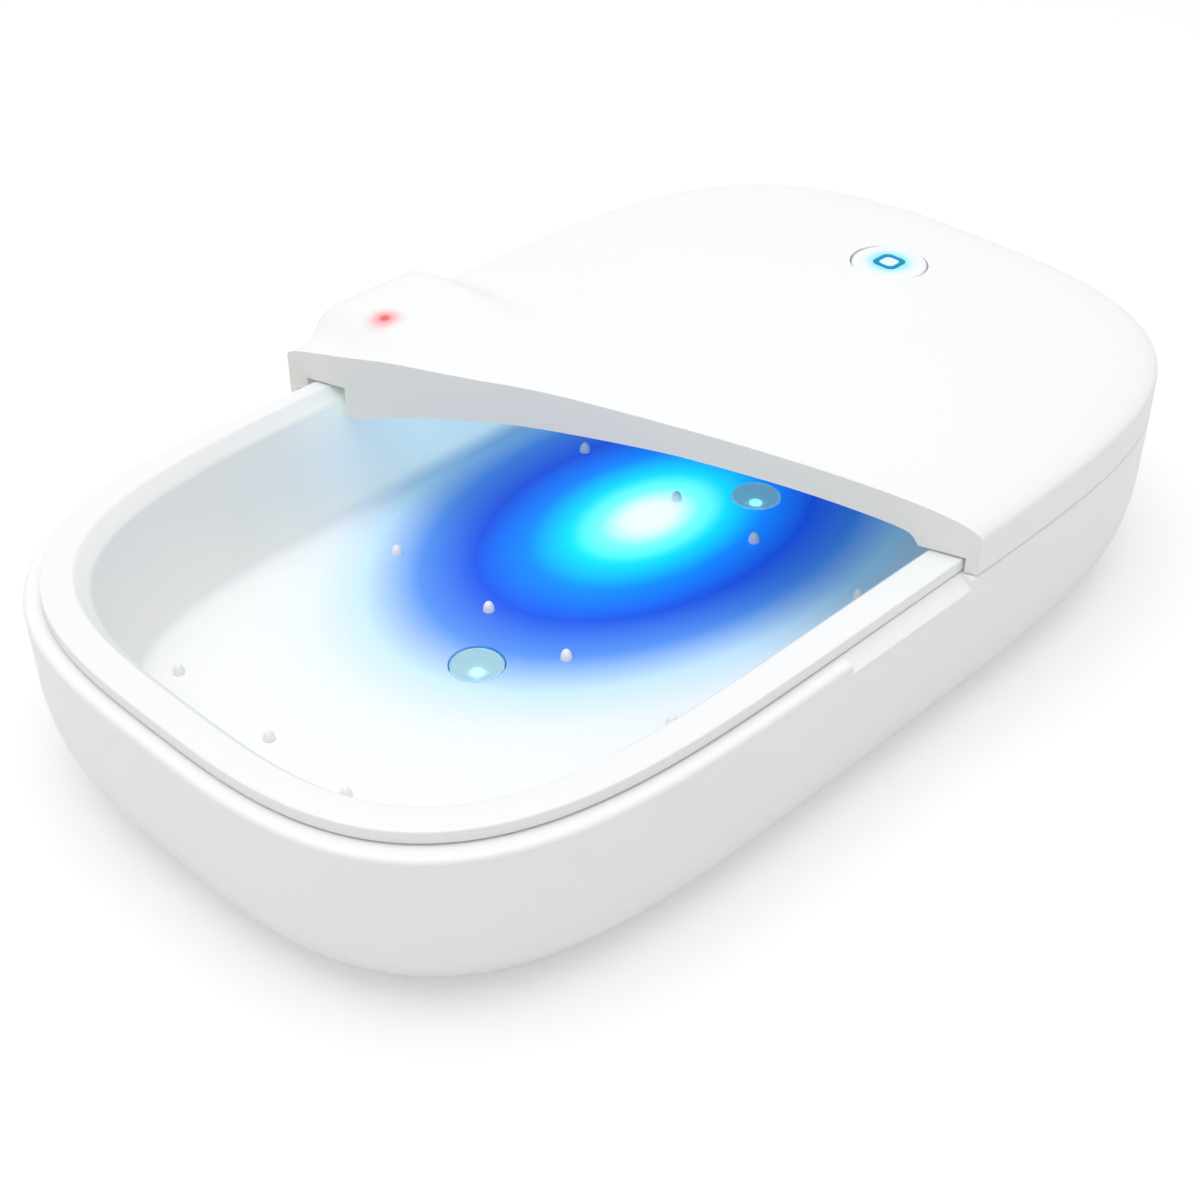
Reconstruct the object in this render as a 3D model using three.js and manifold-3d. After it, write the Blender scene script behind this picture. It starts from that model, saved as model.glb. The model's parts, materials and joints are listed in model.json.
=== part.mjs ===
// A clamshell box that disinfects a telephone with ultraviolet light, shown with the near part
// of its lid cut away. Millimetres, +X along the length to the power button, +Y to the hinge,
// +Z up, origin under the middle of the bounding box.

import * as THREE from 'three';
import { mergeVertices } from 'three/addons/utils/BufferGeometryUtils.js';
import Module from 'manifold-3d';

const wasm = await Module();
wasm.setup();

// Overall form
const LENGTH = 214;
const WIDTH = 132;
const FOOT_STANDOFF = 1.2;
const LID_RISE = 14;
const CASE_POWERS = { end: 4.5, side: 3.07 };
const CHAMBER_POWERS = { end: 5, side: 3.235 };
const ROUND_STEPS = 56;
const FINE_STEPS = 20;
const COARSE_STEPS = 10;
const SMALL_STEPS = 8;

// Clearances
const NEST_GAP = 0.3;
const SEAT_GAP = 0.1;
const OVERRUN = 1;

// Base casing
const BASE_WALL = 2.4;
const END_TUCK = 21.2;
const SIDE_TUCK = 18.6;
const TUCK_POWER = 3.9;
const TUCK_ANGLE_SHARES = [1, 0.86, 0.7, 0.52, 0.36, 0.2];
const BAND_WIDTH = 4.6;
const BAND_DEPTH = 4.2;
const BAND_EDGE_DROP = 0.9;
const BAND_EDGE_RUN = 0.8;
const BAND_EDGE_SHARES = [[0, 1], [0.3, 0.3], [1, 0]];
const SCOOP_LENGTH = 32;
const SCOOP_DROP = 2.1;
const SCOOP_REACH = 2.7;
const HINGE_RECESS_LENGTH = 80;
const HINGE_RECESS_DROP = 2.7;

// Bottom cover, feet and screws
const COVER_END_MARGIN = 4.1;
const COVER_SIDE_MARGIN = 3.7;
const COVER_THICKNESS = 2.4;
const COVER_LEDGE = 2.8;
const COVER_LEDGE_THICKNESS = 1.5;
const FOOT_RADIUS = 6;
const FOOT_SINK = 0.9;
const FOOT_END_MARGIN = 19.7;
const FOOT_SIDE_MARGIN = 17.7;
const SCREW_END_MARGIN = 43.7;
const SCREW_SIDE_MARGIN = 10.7;
const SCREW_HEAD_RADIUS = 2.5;
const SCREW_HEAD_HEIGHT = 0.9;
const SCREW_SHANK_RADIUS = 1.1;
const SCREW_LENGTH = 5.2;
const SCREW_HEAD_SINK = 0.2;

// Chamber tub
const GROOVE_WIDTH = 0.5;
const RING_RISE = 2.7;
const RING_WALL = 1.8;
const RING_OVERHANG = 2.3;
const RING_OVERHANG_REAR_GAP = 0.5;
const LIP_REACH = 2;
const LIP_THICKNESS = 1.8;
const TUB_WALL = 1.8;
const CHAMBER_DEPTH = 24.3;
const CHAMBER_MARGIN = 10.8;
const CHAMBER_DRAFT = 3.5;
const CHAMBER_FILLET = 3;
const FILLET_MIDDLE_SHARE = 0.3;
const CHAMBER_BEVEL = 2.3;
const BOSS_RADIUS = 3.2;
const PEG_RADIUS = 1.1;
const PEG_HEIGHT = 2;
const PEG_END_MARGIN = 12.9;
const PEG_SIDE_MARGIN = 12.7;
const PEG_COLUMN_SHARES = [-1, -1 / 3, 1 / 3, 1];
const PEG_ROW_SHARES = [-1, -0.283, 0.283, 1];
const PEG_TOP_SHARES = [[1, 0.5], [0.7, 0.86], [0, 1]];
const FLOOR_LAMP_MARGIN = 51.7;

// Lamps, boards and socket
const WINDOW_RADIUS = 5;
const WINDOW_THICKNESS = 1.4;
const LED_SIDE = 3.5;
const LED_HEIGHT = 0.8;
const BOARD_THICKNESS = 1;
const BOARD_LAMP_MARGIN = 8;
const BOARD_SOCKET_MARGIN = 10;
const BOARD_BOSS_MARGIN = 2.8;
const LAMP_ROOM = 1.4;
const POST_RADIUS = 2;
const POST_MARGIN = 5;
const CHIP_SIDE = 9;
const CHIP_HEIGHT = 0.9;
const CHIP_X = 10;
const CHIP_Y = 8;
const SOCKET_END_MARGIN = 47;
const SOCKET_WIDTH = 9;
const SOCKET_HEIGHT = 3.4;
const SOCKET_DEPTH = 7;
const SOCKET_WALL = 0.5;
const SOCKET_TONGUE = 0.7;
const SOCKET_TONGUE_WIDTH = 5.6;
const TONGUE_MARGIN = 2;

// Catch magnets
const MAGNET_END_MARGIN = 62;
const MAGNET_LENGTH = 10;
const MAGNET_WIDTH = 1.2;
const BASE_MAGNET_HEIGHT = 2.6;
const LID_MAGNET_HEIGHT = 1.6;

// Hinge
const HINGE_OUTSET = 0.5;
const HINGE_RISE = 3;
const PIN_RADIUS = 1.2;
const PIN_CLEARANCE = 0.1;
const KNUCKLE_RADIUS = 2.6;
const KNUCKLE_LENGTH = 6.2;
const KNUCKLE_FOOT = 3.6;
const BARREL_HALF_LENGTH = 9.3;
const BARREL_INSET = 3.8;

// Lid casing
const LID_GAP = 0.3;
const LID_WALL = 2.2;
const SKIRT_DROP = 2.1;
const SKIRT_WALL = 1.6;
const SKIRT_END_GAP = 0.7;
const LID_END_FLATNESS = 0.8;
const CROWN_SIDE_SHARE = 0.5;
const CROWN_RUN_POWER = 2.2;
const CROWN_RISE_POWER = 0.45;
const REAR_FALL = 1.65;
const REAR_FALL_MARGIN = 58;
const REAR_FALL_RUN = 34;
const REAR_FALL_POWER = 14;
const CROWN_STATION_SHARES = [0, 0.004, 0.02, 0.06, 0.13, 0.24, 0.38, 0.55, 0.74, 0.93];
const HUMP_REACH = 4.5;
const HUMP_RISE = 12.2;
const HUMP_ROOT_MARGIN = 40;
const HUMP_FADE_RISE = 5;
const HUMP_FADE_REACH = 6;
const HUMP_LEFT_LENGTH = 21;
const HUMP_RIGHT_LENGTH = 16.5;
const HUMP_LIFT = 1.7;
const HUMP_LIFT_MARGIN = 30;
const HUMP_LIFT_RUN = 16;
const HUMP_ARC_SHARES = [1, 0.996, 0.985, 0.96, 0.92, 0.86, 0.78, 0.68, 0.58, 0.46, 0.34, 0.22, 0];
const HUMP_POWER = 7;
const HUMP_FAIRING_SHARES = [[-1, 0], [-0.88, 0.16], [-0.76, 0.5], [-0.64, 0.84], [-0.5, 1],
  [0.5, 1], [0.64, 0.84], [0.76, 0.5], [0.88, 0.16], [1, 0]];
const KNUCKLE_WINDOW_RISE = 3.4;

// Section through the lid
const SECTION_X = -3.9;
const SECTION_ANGLE = 17.7 * Math.PI / 180;
const SECTION_PLATE = 1.8;

// Lid liner
const LINER_WALL = 1.3;
const LINER_GAP = 0.4;
const LINER_FLANGE_MARGIN = 4.9;
const LINER_FLANGE = 2.2;
const LINER_LIP_DROP = 3.5;
const LIP_SLOPE_START_MARGIN = 52;
const LIP_SLOPE_END_MARGIN = 12;
const CEILING_RISE = 8;
const CEILING_MARGIN = 13.3;
const CEILING_RING_SHARES = [
  { drop: 1, length: 1, front: 1.065, rear: 1 },
  { drop: 0.17, length: 0.99, front: 1.065, rear: 0.835 },
  { rise: 0.25, length: 0.975, front: 1.06, rear: 0.653 },
  { rise: 0.5, length: 0.95, front: 1.045, rear: 0.474 },
  { rise: 0.7, length: 0.91, front: 1, rear: 0.298 },
  { rise: 0.86, length: 0.83, front: 0.825, rear: 0.066 },
  { rise: 0.965, length: 0.7, front: 0.607, rear: -0.142 },
  { rise: 1, length: 0.55, front: 0.38, rear: -0.247 },
];
const LINER_SCREW_MARGIN = 7.4;
const LINER_SCREW_MAGNET_MARGIN = 15;
const LINER_SCREW_END_MARGIN = 29;
const LINER_BOSS_RADIUS = 2.1;
const LINER_HEAD_RADIUS = 1.6;
const LINER_HEAD_HEIGHT = 0.8;
const LINER_SHANK_RADIUS = 0.7;
const LINER_SCREW_LENGTH = 3.4;

// Lid electronics
const LID_BOARD_LAMP_MARGIN = 10;
const LID_BOARD_SWITCH_MARGIN = 5;
const LID_BOARD_FRONT = 21;
const LID_BOARD_REAR = 13;
const UPPER_LAMP_Y = 6;
const UPPER_LAMP_NEAR_X = 18;
const UPPER_LAMP_BUTTON_MARGIN = 23.8;
const INDICATOR_X = -7.8;
const INDICATOR_MARGIN = 10.5;
const INDICATOR_RADIUS = 1.5;
const INDICATOR_HEIGHT = 1.2;

// Power button
const BUTTON_END_MARGIN = 31.2;
const BUTTON_RADIUS = 7.5;
const BUTTON_GAP = 0.35;
const BUTTON_PROUD = 0.2;
const BUTTON_CROWN = 0.25;
const BUTTON_TRAVEL = 0.5;
const BUTTON_SKIN = 1.5;
const BUTTON_FLANGE = 1.1;
const BUTTON_FLANGE_THICKNESS = 0.6;
const BUTTON_SEAT_SKIN = 1.5;
const SWITCH_SIDE = 6;
const SWITCH_HEIGHT = 0.6;
const SWITCH_PLUNGER_RADIUS = 1.5;
const ICON_SIDE = 5.4;
const ICON_LINE = 1;
const ICON_CORNER = 1.5;
const ICON_THICKNESS = 0.5;
const ICON_PROUD = 0.05;
const ICON_GAP = 0.05;

// Places worked out from the sizes above
const HALF_LENGTH = LENGTH / 2;
const HALF_WIDTH = WIDTH / 2;
const COVER_TOP = FOOT_STANDOFF + COVER_THICKNESS;
const BASE_FLOOR_TOP = COVER_TOP + NEST_GAP + COVER_LEDGE_THICKNESS;
const BOARD_BOTTOM = BASE_FLOOR_TOP + NEST_GAP;
const BOARD_TOP = BOARD_BOTTOM + BOARD_THICKNESS;
const TUB_UNDERSIDE = BOARD_TOP + LAMP_ROOM;
const CHAMBER_FLOOR = TUB_UNDERSIDE + TUB_WALL;
const RIM_Z = CHAMBER_FLOOR + CHAMBER_DEPTH;
const BASE_HEIGHT = RIM_Z - FOOT_STANDOFF;
const RING_TOP = RIM_Z + RING_RISE;
const RING_MARGIN = BAND_WIDTH + GROOVE_WIDTH;
const COVER_HALF_LENGTH = HALF_LENGTH - END_TUCK - COVER_END_MARGIN;
const COVER_HALF_WIDTH = HALF_WIDTH - SIDE_TUCK - COVER_SIDE_MARGIN;
const FLOOR_LAMP_X = HALF_LENGTH - CHAMBER_MARGIN - CHAMBER_DRAFT - CHAMBER_FILLET - FLOOR_LAMP_MARGIN;
const SOCKET_X = HALF_LENGTH - SOCKET_END_MARGIN;
const MAGNET_X = HALF_LENGTH - MAGNET_END_MARGIN;
const SCREW_X = COVER_HALF_LENGTH - SCREW_END_MARGIN;
const SCREW_Y = COVER_HALF_WIDTH - SCREW_SIDE_MARGIN;
const BOARD_START = -FLOOR_LAMP_X - BOARD_LAMP_MARGIN;
const BOARD_END = SOCKET_X + BOARD_SOCKET_MARGIN;
const BOARD_HALF_WIDTH = SCREW_Y - BOSS_RADIUS - BOARD_BOSS_MARGIN;
const HINGE_Y = HALF_WIDTH + HINGE_OUTSET;
const HINGE_Z = RIM_Z + HINGE_RISE;
const BORE_RADIUS = PIN_RADIUS + PIN_CLEARANCE;
const KNUCKLE_START = BARREL_HALF_LENGTH + NEST_GAP;
const KNUCKLE_END = KNUCKLE_START + KNUCKLE_LENGTH;
const LID_BOTTOM = RIM_Z + LID_GAP;
const LINER_BOTTOM = RING_TOP + LINER_GAP;
const FLANGE_TOP = LINER_BOTTOM + LINER_FLANGE;
const CEILING_TOP = RIM_Z + CEILING_RISE;
const LID_BOARD_BOTTOM = CEILING_TOP + LINER_WALL + NEST_GAP;
const LID_BOARD_TOP = LID_BOARD_BOTTOM + BOARD_THICKNESS;
const HUMP_ROOT = HALF_WIDTH - HUMP_ROOT_MARGIN;
const BUTTON_X = HALF_LENGTH - BUTTON_END_MARGIN;
const UPPER_LAMP_FAR_X = BUTTON_X - UPPER_LAMP_BUTTON_MARGIN;

// Colours and finishes
const WHITE_GLOSS = { color: 0xf4f5f6, roughness: 0.3, metalness: 0 };
const WHITE_SATIN = { color: 0xeff1f2, roughness: 0.45, metalness: 0 };
const SECTION_GREY = { color: 0xc9c9c9, roughness: 0.7, metalness: 0 };
const RUBBER = { color: 0xd5d6d6, roughness: 0.85, metalness: 0 };
const STEEL = { color: 0xb9bcc0, roughness: 0.3, metalness: 0.9 };
const BOARD_GREEN = { color: 0x1f6b45, roughness: 0.55, metalness: 0 };
const CHIP_BLACK = { color: 0x1c1d1f, roughness: 0.6, metalness: 0 };
const MAGNET_GREY = { color: 0x8f9296, roughness: 0.35, metalness: 0.8 };
const WINDOW_CLEAR = { color: 0xbfe9ff, roughness: 0.1, metalness: 0 };
const LAMP_GLOW = { color: 0x7fdcff, roughness: 0.3, metalness: 0 };
const INDICATOR_RED = { color: 0xff4d57, roughness: 0.3, metalness: 0 };
const ICON_TEAL = { color: 0x0d8fc0, roughness: 0.35, metalness: 0 };

const box = new THREE.Group();
box.position.y = -HUMP_REACH / 2;

function addPiece(name, geometry, finish) {
  const mesh = new THREE.Mesh(geometry, new THREE.MeshStandardMaterial(finish));
  mesh.name = name;
  box.add(mesh);
}

// Solids for joining and cutting

function solid(geometry) {
  const bare = geometry.clone();
  bare.deleteAttribute('normal');
  bare.deleteAttribute('uv');
  const welded = mergeVertices(bare);
  return new wasm.Manifold(new wasm.Mesh({
    numProp: 3,
    vertProperties: new Float32Array(welded.attributes.position.array),
    triVerts: new Uint32Array(welded.index.array),
  }));
}

function surface(shape) {
  const mesh = shape.getMesh();
  const geometry = new THREE.BufferGeometry();
  geometry.setAttribute('position', new THREE.BufferAttribute(mesh.vertProperties.slice(), mesh.numProp));
  geometry.setIndex(new THREE.BufferAttribute(mesh.triVerts.slice(), 1));
  geometry.computeVertexNormals();
  return geometry;
}

function joined(shapes) {
  return shapes.reduce((sum, shape) => sum.add(shape));
}

function cutFrom(shape, tools) {
  return tools.reduce((rest, tool) => rest.subtract(tool), shape);
}

// Rings that follow the rounded outline of the case, and solids lofted through them

function ring(halfLength, halfWidth, z, powers = CASE_POWERS, shiftY = 0) {
  const points = [];
  for (let step = 0; step < ROUND_STEPS; step += 1) {
    const angle = 2 * Math.PI * step / ROUND_STEPS;
    const cosine = step * 4 % ROUND_STEPS === 0 ? Math.round(Math.cos(angle)) : Math.cos(angle);
    const sine = step * 4 % ROUND_STEPS === 0 ? Math.round(Math.sin(angle)) : Math.sin(angle);
    points.push(new THREE.Vector3(
      Math.sign(cosine) * halfLength * Math.abs(cosine) ** (2 / powers.end),
      shiftY + Math.sign(sine) * halfWidth * Math.abs(sine) ** (2 / powers.side),
      z,
    ));
  }
  return points;
}

function insetRing(inset, z, powers = CASE_POWERS) {
  return ring(HALF_LENGTH - inset, HALF_WIDTH - inset, z, powers);
}

function outlineY(x, inset, powers = CASE_POWERS) {
  const share = Math.abs(x / (HALF_LENGTH - inset));
  return (HALF_WIDTH - inset) * (1 - share ** powers.end) ** (1 / powers.side);
}

function loft(rings) {
  const count = rings[0].length;
  const middle = (points) => points
    .reduce((sum, point) => sum.add(point), new THREE.Vector3())
    .divideScalar(points.length);
  const points = [...rings.flat(), middle(rings[0]), middle(rings.at(-1))];
  const indices = [];
  const floorIndex = points.length - 2;
  const topIndex = points.length - 1;
  const topStart = (rings.length - 1) * count;
  for (let step = 0; step < count; step += 1) {
    const next = (step + 1) % count;
    for (let level = 0; level < rings.length - 1; level += 1) {
      const low = level * count;
      const high = low + count;
      indices.push(low + step, low + next, high + next);
      indices.push(low + step, high + next, high + step);
    }
    indices.push(floorIndex, next, step);
    indices.push(topIndex, topStart + step, topStart + next);
  }
  const geometry = new THREE.BufferGeometry().setFromPoints(points);
  geometry.setIndex(indices);
  geometry.computeVertexNormals();
  return geometry;
}

function straightLoft(inset, bottom, top, powers = CASE_POWERS) {
  return solid(loft([insetRing(inset, bottom, powers), insetRing(inset, top, powers)]));
}

// Plain shapes

function block(xs, ys, zs) {
  const geometry = new THREE.BoxGeometry(xs[1] - xs[0], ys[1] - ys[0], zs[1] - zs[0]);
  return geometry.translate((xs[0] + xs[1]) / 2, (ys[0] + ys[1]) / 2, (zs[0] + zs[1]) / 2);
}

function drum(radius, bottom, top, x = 0, y = 0, steps = FINE_STEPS) {
  const geometry = new THREE.CylinderGeometry(radius, radius, top - bottom, steps);
  return geometry.rotateX(Math.PI / 2).translate(x, y, (bottom + top) / 2);
}

function turned(profile, x, y, z, steps = FINE_STEPS) {
  const points = profile.map(([radius, height]) => new THREE.Vector2(radius, height));
  return new THREE.LatheGeometry(points, steps).rotateX(Math.PI / 2).translate(x, y, z);
}

function rod(radius, start, end) {
  const geometry = new THREE.CylinderGeometry(radius, radius, end - start, FINE_STEPS);
  return geometry.rotateZ(-Math.PI / 2).translate((start + end) / 2, HINGE_Y, HINGE_Z);
}

// An outline in Y and Z, drawn along X
function drawnAlongX(outline, start, end) {
  const geometry = new THREE.ExtrudeGeometry(outline, {
    depth: end - start, bevelEnabled: false, curveSegments: FINE_STEPS,
  });
  const axes = new THREE.Matrix4().makeBasis(
    new THREE.Vector3(0, 1, 0), new THREE.Vector3(0, 0, 1), new THREE.Vector3(1, 0, 0),
  );
  return geometry.applyMatrix4(axes).translate(start, 0, 0);
}

// Everything on the button's side of the lid's section plane, moved along by an offset
function keptSide(offset) {
  const size = 2 * LENGTH;
  const geometry = new THREE.BoxGeometry(size, size, size).translate(size / 2 + offset, 0, 0);
  return solid(geometry.rotateZ(SECTION_ANGLE).translate(SECTION_X, 0, 0));
}

// Base casing

function tuckShare(z) {
  const depth = Math.min((RIM_Z - z) / BASE_HEIGHT, 1);
  return 1 - (1 - depth ** TUCK_POWER) ** (1 / TUCK_POWER);
}

function baseRing(z, inset) {
  const share = tuckShare(z);
  return ring(HALF_LENGTH - END_TUCK * share - inset, HALF_WIDTH - SIDE_TUCK * share - inset, z);
}

function baseLevels() {
  return TUCK_ANGLE_SHARES.map((share) => (
    RIM_Z - BASE_HEIGHT * Math.sin(share * Math.PI / 2) ** (2 / TUCK_POWER)
  ));
}

function baseOutside() {
  const sides = baseLevels().map((z) => baseRing(z, 0));
  const edge = BAND_EDGE_SHARES.map(([run, drop]) => (
    insetRing(run * BAND_EDGE_RUN, RIM_Z - drop * BAND_EDGE_DROP)
  ));
  return solid(loft([...sides, ...edge]));
}

function baseInside() {
  const bandUnderside = RIM_Z - BAND_DEPTH;
  const levels = baseLevels().filter((z) => z > BASE_FLOOR_TOP && z < bandUnderside);
  const rings = [BASE_FLOOR_TOP, ...levels, bandUnderside].map((z) => baseRing(z, BASE_WALL));
  return solid(loft(rings));
}

function coverRing(inset, z) {
  return ring(COVER_HALF_LENGTH - inset, COVER_HALF_WIDTH - inset, z);
}

// A wedge that takes the outer edge off the front of the rim, for a finger to lift the lid
function fingerScoop() {
  const slope = SCOOP_DROP / SCOOP_REACH;
  const outline = new THREE.Shape([
    new THREE.Vector2(-HALF_WIDTH - OVERRUN, RIM_Z - SCOOP_DROP - OVERRUN * slope),
    new THREE.Vector2(-HALF_WIDTH + SCOOP_REACH + OVERRUN, RIM_Z + OVERRUN * slope),
    new THREE.Vector2(-HALF_WIDTH - OVERRUN, RIM_Z + OVERRUN * slope),
  ]);
  return solid(drawnAlongX(outline, -SCOOP_LENGTH / 2, SCOOP_LENGTH / 2));
}

const socketBottom = BOARD_TOP + SEAT_GAP;
const socketTop = socketBottom + SOCKET_HEIGHT;
const socketTuck = tuckShare(socketBottom);
const socketFace = outlineY(SOCKET_X + SOCKET_WIDTH / 2, socketTuck * SIDE_TUCK) - SEAT_GAP;

function addBaseShell() {
  const hingeRecess = solid(block(
    [-HINGE_RECESS_LENGTH / 2, HINGE_RECESS_LENGTH / 2],
    [HALF_WIDTH - BAND_WIDTH - OVERRUN, HALF_WIDTH + OVERRUN],
    [RIM_Z - HINGE_RECESS_DROP, RIM_Z + OVERRUN],
  ));
  const socketSlot = solid(block(
    [SOCKET_X - SOCKET_WIDTH / 2 - NEST_GAP, SOCKET_X + SOCKET_WIDTH / 2 + NEST_GAP],
    [socketFace - SOCKET_DEPTH, HALF_WIDTH + OVERRUN],
    [socketBottom - NEST_GAP, socketTop + NEST_GAP],
  ));
  const shell = cutFrom(baseOutside(), [
    baseInside(),
    straightLoft(BAND_WIDTH, RIM_Z - BAND_DEPTH - OVERRUN, RIM_Z + OVERRUN),
    solid(loft([
      coverRing(COVER_LEDGE, FOOT_STANDOFF - OVERRUN), coverRing(COVER_LEDGE, BASE_FLOOR_TOP + OVERRUN),
    ])),
    solid(loft([coverRing(0, FOOT_STANDOFF - OVERRUN), coverRing(0, COVER_TOP + NEST_GAP)])),
    fingerScoop(),
    hingeRecess,
    socketSlot,
  ]);
  addPiece('base_shell', surface(shell), WHITE_GLOSS);
}

// The four corners of a rectangle about the middle, with plain names
function corners(x, y) {
  return [
    { name: 'front_left', x: -x, y: -y },
    { name: 'front_right', x, y: -y },
    { name: 'rear_left', x: -x, y },
    { name: 'rear_right', x, y },
  ];
}

const feet = corners(COVER_HALF_LENGTH - FOOT_END_MARGIN, COVER_HALF_WIDTH - FOOT_SIDE_MARGIN);
const coverScrews = corners(SCREW_X, SCREW_Y);
const screwHeadBottom = FOOT_STANDOFF + SCREW_HEAD_SINK;
const screwHeadTop = screwHeadBottom + SCREW_HEAD_HEIGHT;
const screwTip = screwHeadBottom + SCREW_LENGTH;

function addBottomCover() {
  const postX = (BOARD_END - BOARD_START) / 2 - POST_MARGIN;
  const postY = BOARD_HALF_WIDTH - POST_MARGIN;
  const boardMiddle = (BOARD_START + BOARD_END) / 2;
  const posts = corners(postX, postY).map(({ x, y }) => (
    solid(drum(POST_RADIUS, COVER_TOP - OVERRUN, BOARD_BOTTOM - SEAT_GAP, x + boardMiddle, y, COARSE_STEPS))
  ));
  const plate = solid(loft([coverRing(NEST_GAP, FOOT_STANDOFF), coverRing(NEST_GAP, COVER_TOP)]));
  const footPockets = feet.map(({ x, y }) => solid(drum(
    FOOT_RADIUS + NEST_GAP, FOOT_STANDOFF - OVERRUN, FOOT_STANDOFF + FOOT_SINK, x, y,
  )));
  const headPockets = coverScrews.map(({ x, y }) => solid(drum(
    SCREW_HEAD_RADIUS + NEST_GAP, FOOT_STANDOFF - OVERRUN, screwHeadTop + SEAT_GAP, x, y,
  )));
  const shankHoles = coverScrews.map(({ x, y }) => solid(drum(
    SCREW_SHANK_RADIUS + NEST_GAP, FOOT_STANDOFF, COVER_TOP + OVERRUN, x, y, COARSE_STEPS,
  )));
  const cover = cutFrom(joined([plate, ...posts]), [...footPockets, ...headPockets, ...shankHoles]);
  addPiece('bottom_cover', surface(cover), WHITE_SATIN);
}

function addFeet() {
  const top = FOOT_STANDOFF + FOOT_SINK - SEAT_GAP;
  for (const { name, x, y } of feet) {
    addPiece(`foot_${name}`, drum(FOOT_RADIUS, 0, top, x, y), RUBBER);
  }
}

function screwProfile(headRadius, headHeight, shankRadius, length) {
  return [[0, 0], [headRadius, 0], [headRadius, headHeight], [shankRadius, headHeight],
    [shankRadius, length], [0, length]];
}

function addCoverScrews() {
  const profile = screwProfile(SCREW_HEAD_RADIUS, SCREW_HEAD_HEIGHT, SCREW_SHANK_RADIUS, SCREW_LENGTH);
  for (const { name, x, y } of coverScrews) {
    addPiece(`cover_screw_${name}`, turned(profile, x, y, screwHeadBottom, COARSE_STEPS), STEEL);
  }
}

// Chamber tub: the ring round the mouth, the walls, the floor, its pegs and screw bosses

const floorLamps = [{ name: 'left', x: -FLOOR_LAMP_X }, { name: 'right', x: FLOOR_LAMP_X }];

function chamberRing(inset, z) {
  return insetRing(inset, z, CHAMBER_POWERS);
}

function wallInset(z) {
  return CHAMBER_MARGIN + CHAMBER_DRAFT * (RIM_Z - z) / CHAMBER_DEPTH;
}

function chamberSpace() {
  const filletTop = CHAMBER_FLOOR + CHAMBER_FILLET;
  const middleDrop = CHAMBER_FILLET * FILLET_MIDDLE_SHARE;
  const filletMiddle = CHAMBER_FLOOR + middleDrop;
  const bevelSlope = CHAMBER_BEVEL / RING_RISE;
  return solid(loft([
    chamberRing(wallInset(CHAMBER_FLOOR) + CHAMBER_FILLET, CHAMBER_FLOOR),
    chamberRing(wallInset(filletMiddle) + middleDrop, filletMiddle),
    chamberRing(wallInset(filletTop), filletTop),
    chamberRing(CHAMBER_MARGIN, RIM_Z),
    chamberRing(CHAMBER_MARGIN - CHAMBER_BEVEL, RING_TOP),
    chamberRing(CHAMBER_MARGIN - CHAMBER_BEVEL - OVERRUN * bevelSlope, RING_TOP + OVERRUN),
  ]));
}

function tubOutside() {
  const filletTop = CHAMBER_FLOOR + CHAMBER_FILLET;
  return solid(loft([
    chamberRing(wallInset(TUB_UNDERSIDE) + CHAMBER_FILLET - TUB_WALL, TUB_UNDERSIDE),
    chamberRing(wallInset(CHAMBER_FLOOR) - TUB_WALL / 2, CHAMBER_FLOOR),
    chamberRing(wallInset(filletTop) - TUB_WALL, filletTop),
    chamberRing(CHAMBER_MARGIN - TUB_WALL, RIM_Z),
    chamberRing(CHAMBER_MARGIN - TUB_WALL, RING_TOP - TUB_WALL),
  ]));
}

// The top of the ring reaches out over the band of the base, except at the hinge
function ringOverhang() {
  const clearOfHinge = solid(block(
    [-HALF_LENGTH, HALF_LENGTH],
    [-HALF_WIDTH, HALF_WIDTH - RING_MARGIN - RING_OVERHANG_REAR_GAP],
    [RIM_Z, RING_TOP + OVERRUN],
  ));
  return straightLoft(RING_MARGIN - RING_OVERHANG, RIM_Z + NEST_GAP, RING_TOP).intersect(clearOfHinge);
}

function mouthRing() {
  const bandUnderside = RIM_Z - BAND_DEPTH;
  const lipTop = bandUnderside - NEST_GAP;
  const lipBottom = lipTop - LIP_THICKNESS;
  const channel = straightLoft(RING_MARGIN + RING_WALL, lipBottom - OVERRUN, RING_TOP - RING_WALL);
  return joined([
    straightLoft(RING_MARGIN, lipBottom, RING_TOP),
    straightLoft(RING_MARGIN - LIP_REACH, lipBottom, lipTop),
    ringOverhang(),
  ]).subtract(channel);
}

function peg(x, y) {
  const top = PEG_TOP_SHARES.map(([out, up]) => [out * PEG_RADIUS, up * PEG_HEIGHT]);
  const profile = [[0, -TUB_WALL / 2], [PEG_RADIUS, -TUB_WALL / 2], ...top];
  return solid(turned(profile, x, y, CHAMBER_FLOOR, SMALL_STEPS));
}

function floorPegs() {
  const floorInset = wallInset(CHAMBER_FLOOR) + CHAMBER_FILLET;
  const outerX = HALF_LENGTH - floorInset - PEG_END_MARGIN;
  const outerY = HALF_WIDTH - floorInset - PEG_SIDE_MARGIN;
  return PEG_COLUMN_SHARES.flatMap((along) => (
    PEG_ROW_SHARES.map((across) => peg(along * outerX, across * outerY))
  ));
}

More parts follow.
